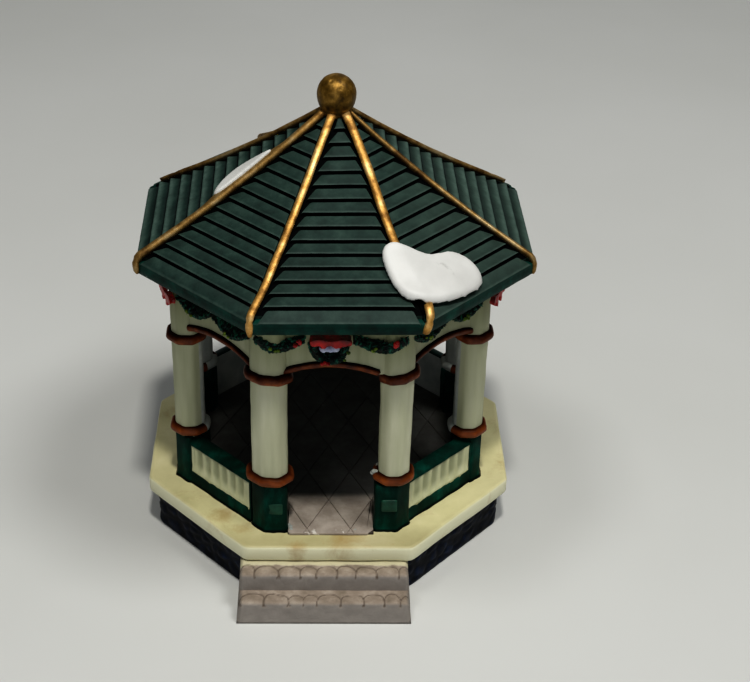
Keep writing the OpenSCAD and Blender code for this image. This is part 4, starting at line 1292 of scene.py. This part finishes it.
fit("garland_cores", garland_core, [sprig_paint], "wreath_green", "garlands")

leaf = bmesh.new()
tips = ((-1.0, 0, 0), (1.1, 0, 0.15))
middles = ((-0.1, 0.48, 0.05), (-0.05, 0, 0.42), (-0.1, -0.48, 0.05), (-0.05, 0, -0.2))
ends = [leaf.verts.new(Vector(p) * MM) for p in tips]
girdle = [leaf.verts.new(Vector(p) * MM) for p in middles]
for i in range(4):
    for end in ends:
        leaf.faces.new((end, girdle[i], girdle[(i + 1) % 4]))
bmesh.ops.recalc_face_normals(leaf, faces=leaf.faces)
leaf_object = as_object("sprig_leaf", leaf)


def scatter_tree(finish):
    """Nodes that set a small piece at random over the side of a surface that faces out."""
    tree = bpy.data.node_groups.new("scattered_" + finish.name, "GeometryNodeTree")
    tree.interface.new_socket("Geometry", in_out="OUTPUT", socket_type="NodeSocketGeometry")
    kinds = {
        "Surface": "Geometry", "Piece": "Object", "Density": "Float", "Smallest": "Float", "Largest": "Float",
    }
    sockets = {}
    for label, kind in kinds.items():
        sockets[label] = tree.interface.new_socket(label, in_out="INPUT", socket_type="NodeSocket" + kind)
    given = add(tree, "NodeGroupInput")
    way = add(tree, "GeometryNodeInputNormal")
    place = add(tree, "GeometryNodeInputPosition")
    level = add(
        tree, "ShaderNodeVectorMath", {"operation": "MULTIPLY", 1: (1, 1, 0)}, {0: (place, "Position")},
    )
    outward = add(
        tree, "ShaderNodeVectorMath", {"operation": "DOT_PRODUCT"},
        {0: (level, "Vector"), 1: (way, "Normal")},
    )
    showing = add(
        tree, "FunctionNodeCompare", {"data_type": "FLOAT", "operation": "GREATER_THAN", "B": 0.008},
        {"A": (outward, "Value")},
    )
    points = add(
        tree, "GeometryNodeDistributePointsOnFaces", {"Seed": 7},
        {"Mesh": (given, "Surface"), "Density": (given, "Density"), "Selection": (showing, "Result")},
    )
    size = add(
        tree, "FunctionNodeRandomValue", {"data_type": "FLOAT", "Seed": 3},
        {2: (given, "Smallest"), 3: (given, "Largest")},
    )
    spin = add(tree, "FunctionNodeRandomValue", {"data_type": "FLOAT", 2: 0.0, 3: 6.283, "Seed": 4})
    axis = add(tree, "ShaderNodeCombineXYZ", (), {"Z": (spin, 1)})
    spun = add(
        tree, "FunctionNodeRotateRotation", {"rotation_space": "LOCAL"},
        {0: (points, "Rotation"), 1: (axis, "Vector")},
    )
    placed = add(
        tree, "GeometryNodeInstanceOnPoints", (),
        {"Points": (points, "Points"), "Rotation": (spun, "Rotation"), "Scale": (size, 1)},
    )
    thing = add(tree, "GeometryNodeObjectInfo", {"As Instance": True}, {"Object": (given, "Piece")})
    tree.links.new(thing.outputs["Geometry"], placed.inputs["Instance"])
    hue = add(tree, "FunctionNodeRandomValue", {"data_type": "FLOAT", 2: 0.1, 3: 1.0, "Seed": 5})
    marked = add(
        tree, "GeometryNodeStoreNamedAttribute", {"data_type": "FLOAT", "domain": "INSTANCE", "Name": "tint"},
        {"Geometry": (placed, "Instances"), "Value": (hue, 1)},
    )
    solid = add(tree, "GeometryNodeRealizeInstances", (), {"Geometry": (marked, "Geometry")})
    dressed = add(tree, "GeometryNodeSetMaterial", {"Material": finish}, {"Geometry": (solid, "Geometry")})
    add(tree, "NodeGroupOutput", (), {"Geometry": (dressed, "Geometry")})
    return tree, sockets


def scatter(name, skin, piece, finish, slot, **values):
    """Runs the scattering tree over a skin drawn in millimetres and keeps the result as a mesh."""
    tree, sockets = scatter_tree(finish)
    bmesh.ops.scale(skin, vec=Vector((MM, MM, MM)), verts=skin.verts)
    made = as_object(name, skin)
    growth = made.modifiers.new("scatter", "NODES")
    growth.node_group = tree
    growth[sockets["Piece"].identifier] = piece
    for label, value in values.items():
        growth[sockets[label].identifier] = value
    bpy.context.view_layer.update()
    plain = bpy.data.meshes.new_from_object(made.evaluated_get(bpy.context.evaluated_depsgraph_get()))
    made.modifiers.clear()
    made.data = plain
    plain.name = name
    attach(made, "root")
    return made


sprigs = {"Density": 1.5e6, "Smallest": 0.5, "Largest": 1.0}
scatter("evergreen_sprigs", surface, leaf_object, sprig_paint, "wreath_green", **sprigs)
bpy.data.objects.remove(leaf_object)

# Satin acrylic: lime-green leaves, dabbed on with a small brush.
lime_paint, tree, shader, coords = new_paint("lime_acrylic", 0.45)
_, tone = mottled(tree, (coords, "Object"), 500.0, 3.0, [(0.35, "#3d5a1a"), (0.6, "#7f9532")])
tree.links.new(tone.outputs["Color"], shader.inputs["Base Color"])

# Gloss acrylic: cherry-red berries and ribbon, with near-black painted shade on the bows' upper parts.
red_paint, tree, shader, coords = new_paint("cherry_red_acrylic", 0.35)
coat, tone = mottled(
    tree, (coords, "Object"), 300.0, 4.0, [(0.3, "#6d0a0e"), (0.5, "#a81414"), (0.72, "#cc2420")],
)
shade = over_hollows_and_shade(tree, (tone, "Color"), "#200507")
tree.links.new(shade.outputs[2], shader.inputs["Base Color"])
bump = add(tree, "ShaderNodeBump", {"Strength": 0.35, "Distance": 0.0003}, {"Height": (coat, "Fac")})
tree.links.new(bump.outputs["Normal"], shader.inputs["Normal"])

garland_height, garland_sag, swag_face = 83.4, 2.9, 47.74


def swag_point(k, share, drop):
    """A place on a swag of bay k, from its middle at 0 to its right end at 1 or its left end at -1."""
    dressed = k in (0, 4)
    side = -1 if share < 0 else 1
    start, stop, wrap = (6.9, 19.67, 0.85) if dressed else (0.6, 14.87, 1.0)
    along = abs(share)
    s = start + (stop - start) * along
    z = garland_height - garland_sag * math.sin(math.pi * wrap * along) - drop
    place = turned((side * s, -swag_face, z), bay_turns[k])
    return as_hung(place) if k == 0 else place


limes, berries = bmesh.new(), bmesh.new()
random.seed(5)
for k in range(8):
    for share in (-0.6, 0.42):
        for n in range(4):
            at = swag_point(k, share + random.uniform(-0.08, 0.08), random.uniform(-0.9, 0.3))
            dab(limes, at, random.uniform(0.35, 0.6), n + k * 7)
    if k in (0, 4):
        for share, high in ((-0.17, 1.6), (0.8, 2.2)):
            for n in range(6):
                near, drop = share + random.uniform(-0.06, 0.06), random.uniform(-high, 0.4 - high / 2)
                at = swag_point(k, near, drop)
                dab(berries, at, random.uniform(0.5, 0.75), n + k * 5 + 3, 0.9)
        for n in range(3):
            at = turned((-1.5 + 0.8 * (n - 1), -47.3, 77.0 + 0.4 * (n % 2)), bay_turns[k])
            dab(berries, at, 0.6, n + k)
        dab(limes, turned((4.9, -47.2, 80.6), bay_turns[k]), 0.6, k)
        dab(limes, turned((3.9, -47.3, 78.2), bay_turns[k]), 0.45, k + 2)
fit("lime_leaves", limes, [lime_paint], "wreath_green")
fit("red_berries", berries, [red_paint], "ribbon_red")

# ---- Bows ----
# Ribbon bows over the wreaths and on the columns of the side bays, modelled as soft folds in relief
# and painted cherry red. A dab of snow lies in the ring of each wreath.


def softened(node_name, voxel, passes):
    """A CAD solid's mesh, rebuilt as one even skin in millimetres and rubbed smooth."""
    skin = bmesh.new()
    skin.from_mesh(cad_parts[node_name].data)
    bmesh.ops.remove_doubles(skin, verts=skin.verts, dist=1e-6)
    shape = as_object("softening", skin)
    grid = shape.modifiers.new("grid", "REMESH")
    grid.mode = "VOXEL"
    grid.voxel_size = voxel * MM
    rub = shape.modifiers.new("rub", "SMOOTH")
    rub.iterations = passes
    rub.factor = 0.6
    bpy.context.view_layer.update()
    plain = bpy.data.meshes.new_from_object(shape.evaluated_get(bpy.context.evaluated_depsgraph_get()))
    bpy.data.objects.remove(shape)
    skin = bmesh.new()
    skin.from_mesh(plain)
    bmesh.ops.scale(skin, vec=Vector((1000, 1000, 1000)), verts=skin.verts)
    skin.normal_update()
    return skin


tail_top = 83.4
bows = softened("bows", 0.3, 4)
hollow = bows.verts.layers.float.new("hollow")
for vert in bows.verts:
    at_wreath = abs(vert.co.x) < 10
    if at_wreath and vert.co.z < tail_top:
        vert.co.z = tail_top - 0.35 * (tail_top - vert.co.z)
    centre = 84.1 if at_wreath else 82.9
    if vert.co.x > 30 and vert.co.y < 0:
        vert.co += Vector((1.0, -0.4, 0.9))
    # painted shade: darker towards the top of each bow, most on the wreath bows under the eaves
    shaded = ease(vert.co.z + 0.5 * rough(vert.co, 2.0), centre, centre + 1.8)
    vert[hollow] = (0.85 if at_wreath else 0.3) * shaded
for vert in bows.verts:
    fold = math.sin(vert.co.x * 2.3 + vert.co.y * 1.1) * 0.5 + 0.5
    vert.co -= vert.normal * (0.28 * fold + 0.12 * (1 + rough(vert.co, 1.3)))
fit("ribbon_bows", bows, [red_paint], "ribbon_red", "bows")

# Thick white acrylic, painted blue-grey as painted shade: the snow that lies in a wreath's ring.
drift_paint, tree, shader, coords = new_paint("shaded_white_acrylic", 0.5)
_, tone = mottled(tree, (coords, "Object"), 300.0, 3.0, [(0.35, "#9aa2c2"), (0.65, "#c9cede")])
tree.links.new(tone.outputs["Color"], shader.inputs["Base Color"])
drifts = bmesh.new()
for k in (0, 4):
    for n, across in enumerate((-1.9, -1.1, -0.3, 0.5, 1.3)):
        at = turned((across, -46.3, 81.5 + 0.1 * (n % 2)), bay_turns[k])
        dab(drifts, at, 1.3, n + k, 0.85)
fit("wreath_drifts", drifts, [drift_paint], "snow_white")

# ---- Snow ----
# Two patches of snow laid on the roof in thick white enamel: a large one over the front right hip and a
# thin one on the left slope. The enamel has rounded off under its own surface tension.

thin_patch_up = 1.5
snow = softened("snow_patches", 0.45, 14)
for vert in snow.verts:
    vert.co -= vert.normal * 0.1 * (1 + rough(vert.co, 6))
    if vert.co.x < 0:
        share = -vert.co.x / eave_apothem
        nearer = (-vert.co.x - thin_patch_up) / eave_apothem
        vert.co += Vector((thin_patch_up, -0.7, roof_height(nearer) - roof_height(share)))

# Enamel laid on thick: white with a soft sheen, a cloudy tone and a few grey smudges.
gloss_white, tree, shader, coords = new_paint("white_gloss_enamel", 0.5)
_, tone = mottled(tree, (coords, "Object"), 60.0, 5.0, [(0.3, "#c1c1bd"), (0.6, "#d5d5d1")])
smudge, grime = mottled(tree, (coords, "Object"), 190.0, 5.0, [(0.6, 0.0), (0.72, 0.5)], Roughness=0.7)
shade = add(
    tree, "ShaderNodeMix", {"data_type": "RGBA", 7: linear("#9a9a94")},
    {0: (grime, "Color"), 6: (tone, "Color")},
)
tree.links.new(shade.outputs[2], shader.inputs["Base Color"])
bump = add(tree, "ShaderNodeBump", {"Strength": 0.2, "Distance": 0.0004}, {"Height": (smudge, "Fac")})
tree.links.new(bump.outputs["Normal"], shader.inputs["Normal"])
fit("snow_enamel", snow, [gloss_white], "snow_white", "snow_patches")

# ---- Table and light ----
# A pale, matte table under a ceiling lamp that stands a little in front of the piece, with soft light
# from the room around it.

table = bmesh.new()
bmesh.ops.create_grid(table, x_segments=8, y_segments=8, size=3.0)
table_top = as_object("pale_table", table)
table_top.location = (0, 0, -0.0002)

# Matte laminate: an even, pale grey with a faint cloudiness.
table_finish, tree, shader, coords = new_paint("pale_laminate", 0.6)
_, tone = mottled(tree, (coords, "Object"), 4.0, 4.0, [(0.3, "#cacbc7"), (0.7, "#d2d3d0")])
tree.links.new(tone.outputs["Color"], shader.inputs["Base Color"])
table_top.data.materials.append(table_finish)
table_top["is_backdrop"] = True

room = bpy.data.worlds.new("soft_room")
room.use_nodes = True
room.node_tree.nodes["Background"].inputs["Color"].default_value = linear("#e9edf2")
room.node_tree.nodes["Background"].inputs["Strength"].default_value = 0.035
bpy.context.scene.world = room
bpy.context.scene.view_settings.view_transform = "Standard"
bpy.context.scene.view_settings.look = "High Contrast"


def lamp(name, azimuth, elevation, distance, size, power, colour):
    """A square lamp that looks at the middle of the piece."""
    a, e = math.radians(azimuth), math.radians(elevation)
    way = Vector((math.sin(a) * math.cos(e), -math.cos(a) * math.cos(e), math.sin(e)))
    light = bpy.data.lights.new(name, "AREA")
    light.size = size
    light.energy = power
    light.color = linear(colour)[:3]
    made = bpy.data.objects.new(name, light)
    made.location = Vector((0, 0, 0.06)) + way * distance
    made.rotation_mode = "QUATERNION"
    made.rotation_quaternion = way.to_track_quat("Z", "Y")
    bpy.context.scene.collection.objects.link(made)


lamp("ceiling_lamp", 5, 71, 1.2, 0.09, 5.1, "#fffcf7")
lamp("right_spots", 68, 64, 1.3, 0.4, 5.0, "#fbfbfb")
lamp("left_spots", -75, 72, 1.3, 0.3, 2.2, "#fbfbfb")
lamp("room_front", -4, 12, 1.3, 0.9, 2.2, "#f0f5fd")
lamp("far_window", 172, 24, 1.5, 1.2, 0.9, "#eef4fb")

# ---- Camera ----
# Held in the hand a little above the piece and in front of it, tipped slightly.

view_turn, view_rise, view_roll = math.radians(-2.2442), math.radians(32.5531), math.radians(1.6785)
level = math.cos(view_rise)
back = Vector((math.sin(view_turn) * level, -math.cos(view_turn) * level, math.sin(view_rise)))
side = Vector((math.cos(view_turn), math.sin(view_turn), 0))
up = back.cross(side)
across = side * math.cos(view_roll) + up * math.sin(view_roll)
upward = up * math.cos(view_roll) - side * math.sin(view_roll)
lens = bpy.data.cameras.new("hand_camera")
lens.lens = 75.51
lens.sensor_width = 36.0
lens.clip_start = 0.01
lens.clip_end = 20.0
camera = bpy.data.objects.new("hand_camera", lens)
stand = Matrix.Translation((-0.00211, -0.40716, 0.3145))
camera.matrix_world = stand @ Matrix((across, upward, back)).transposed().to_4x4()
bpy.context.scene.collection.objects.link(camera)
bpy.context.scene.camera = camera

low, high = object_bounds()
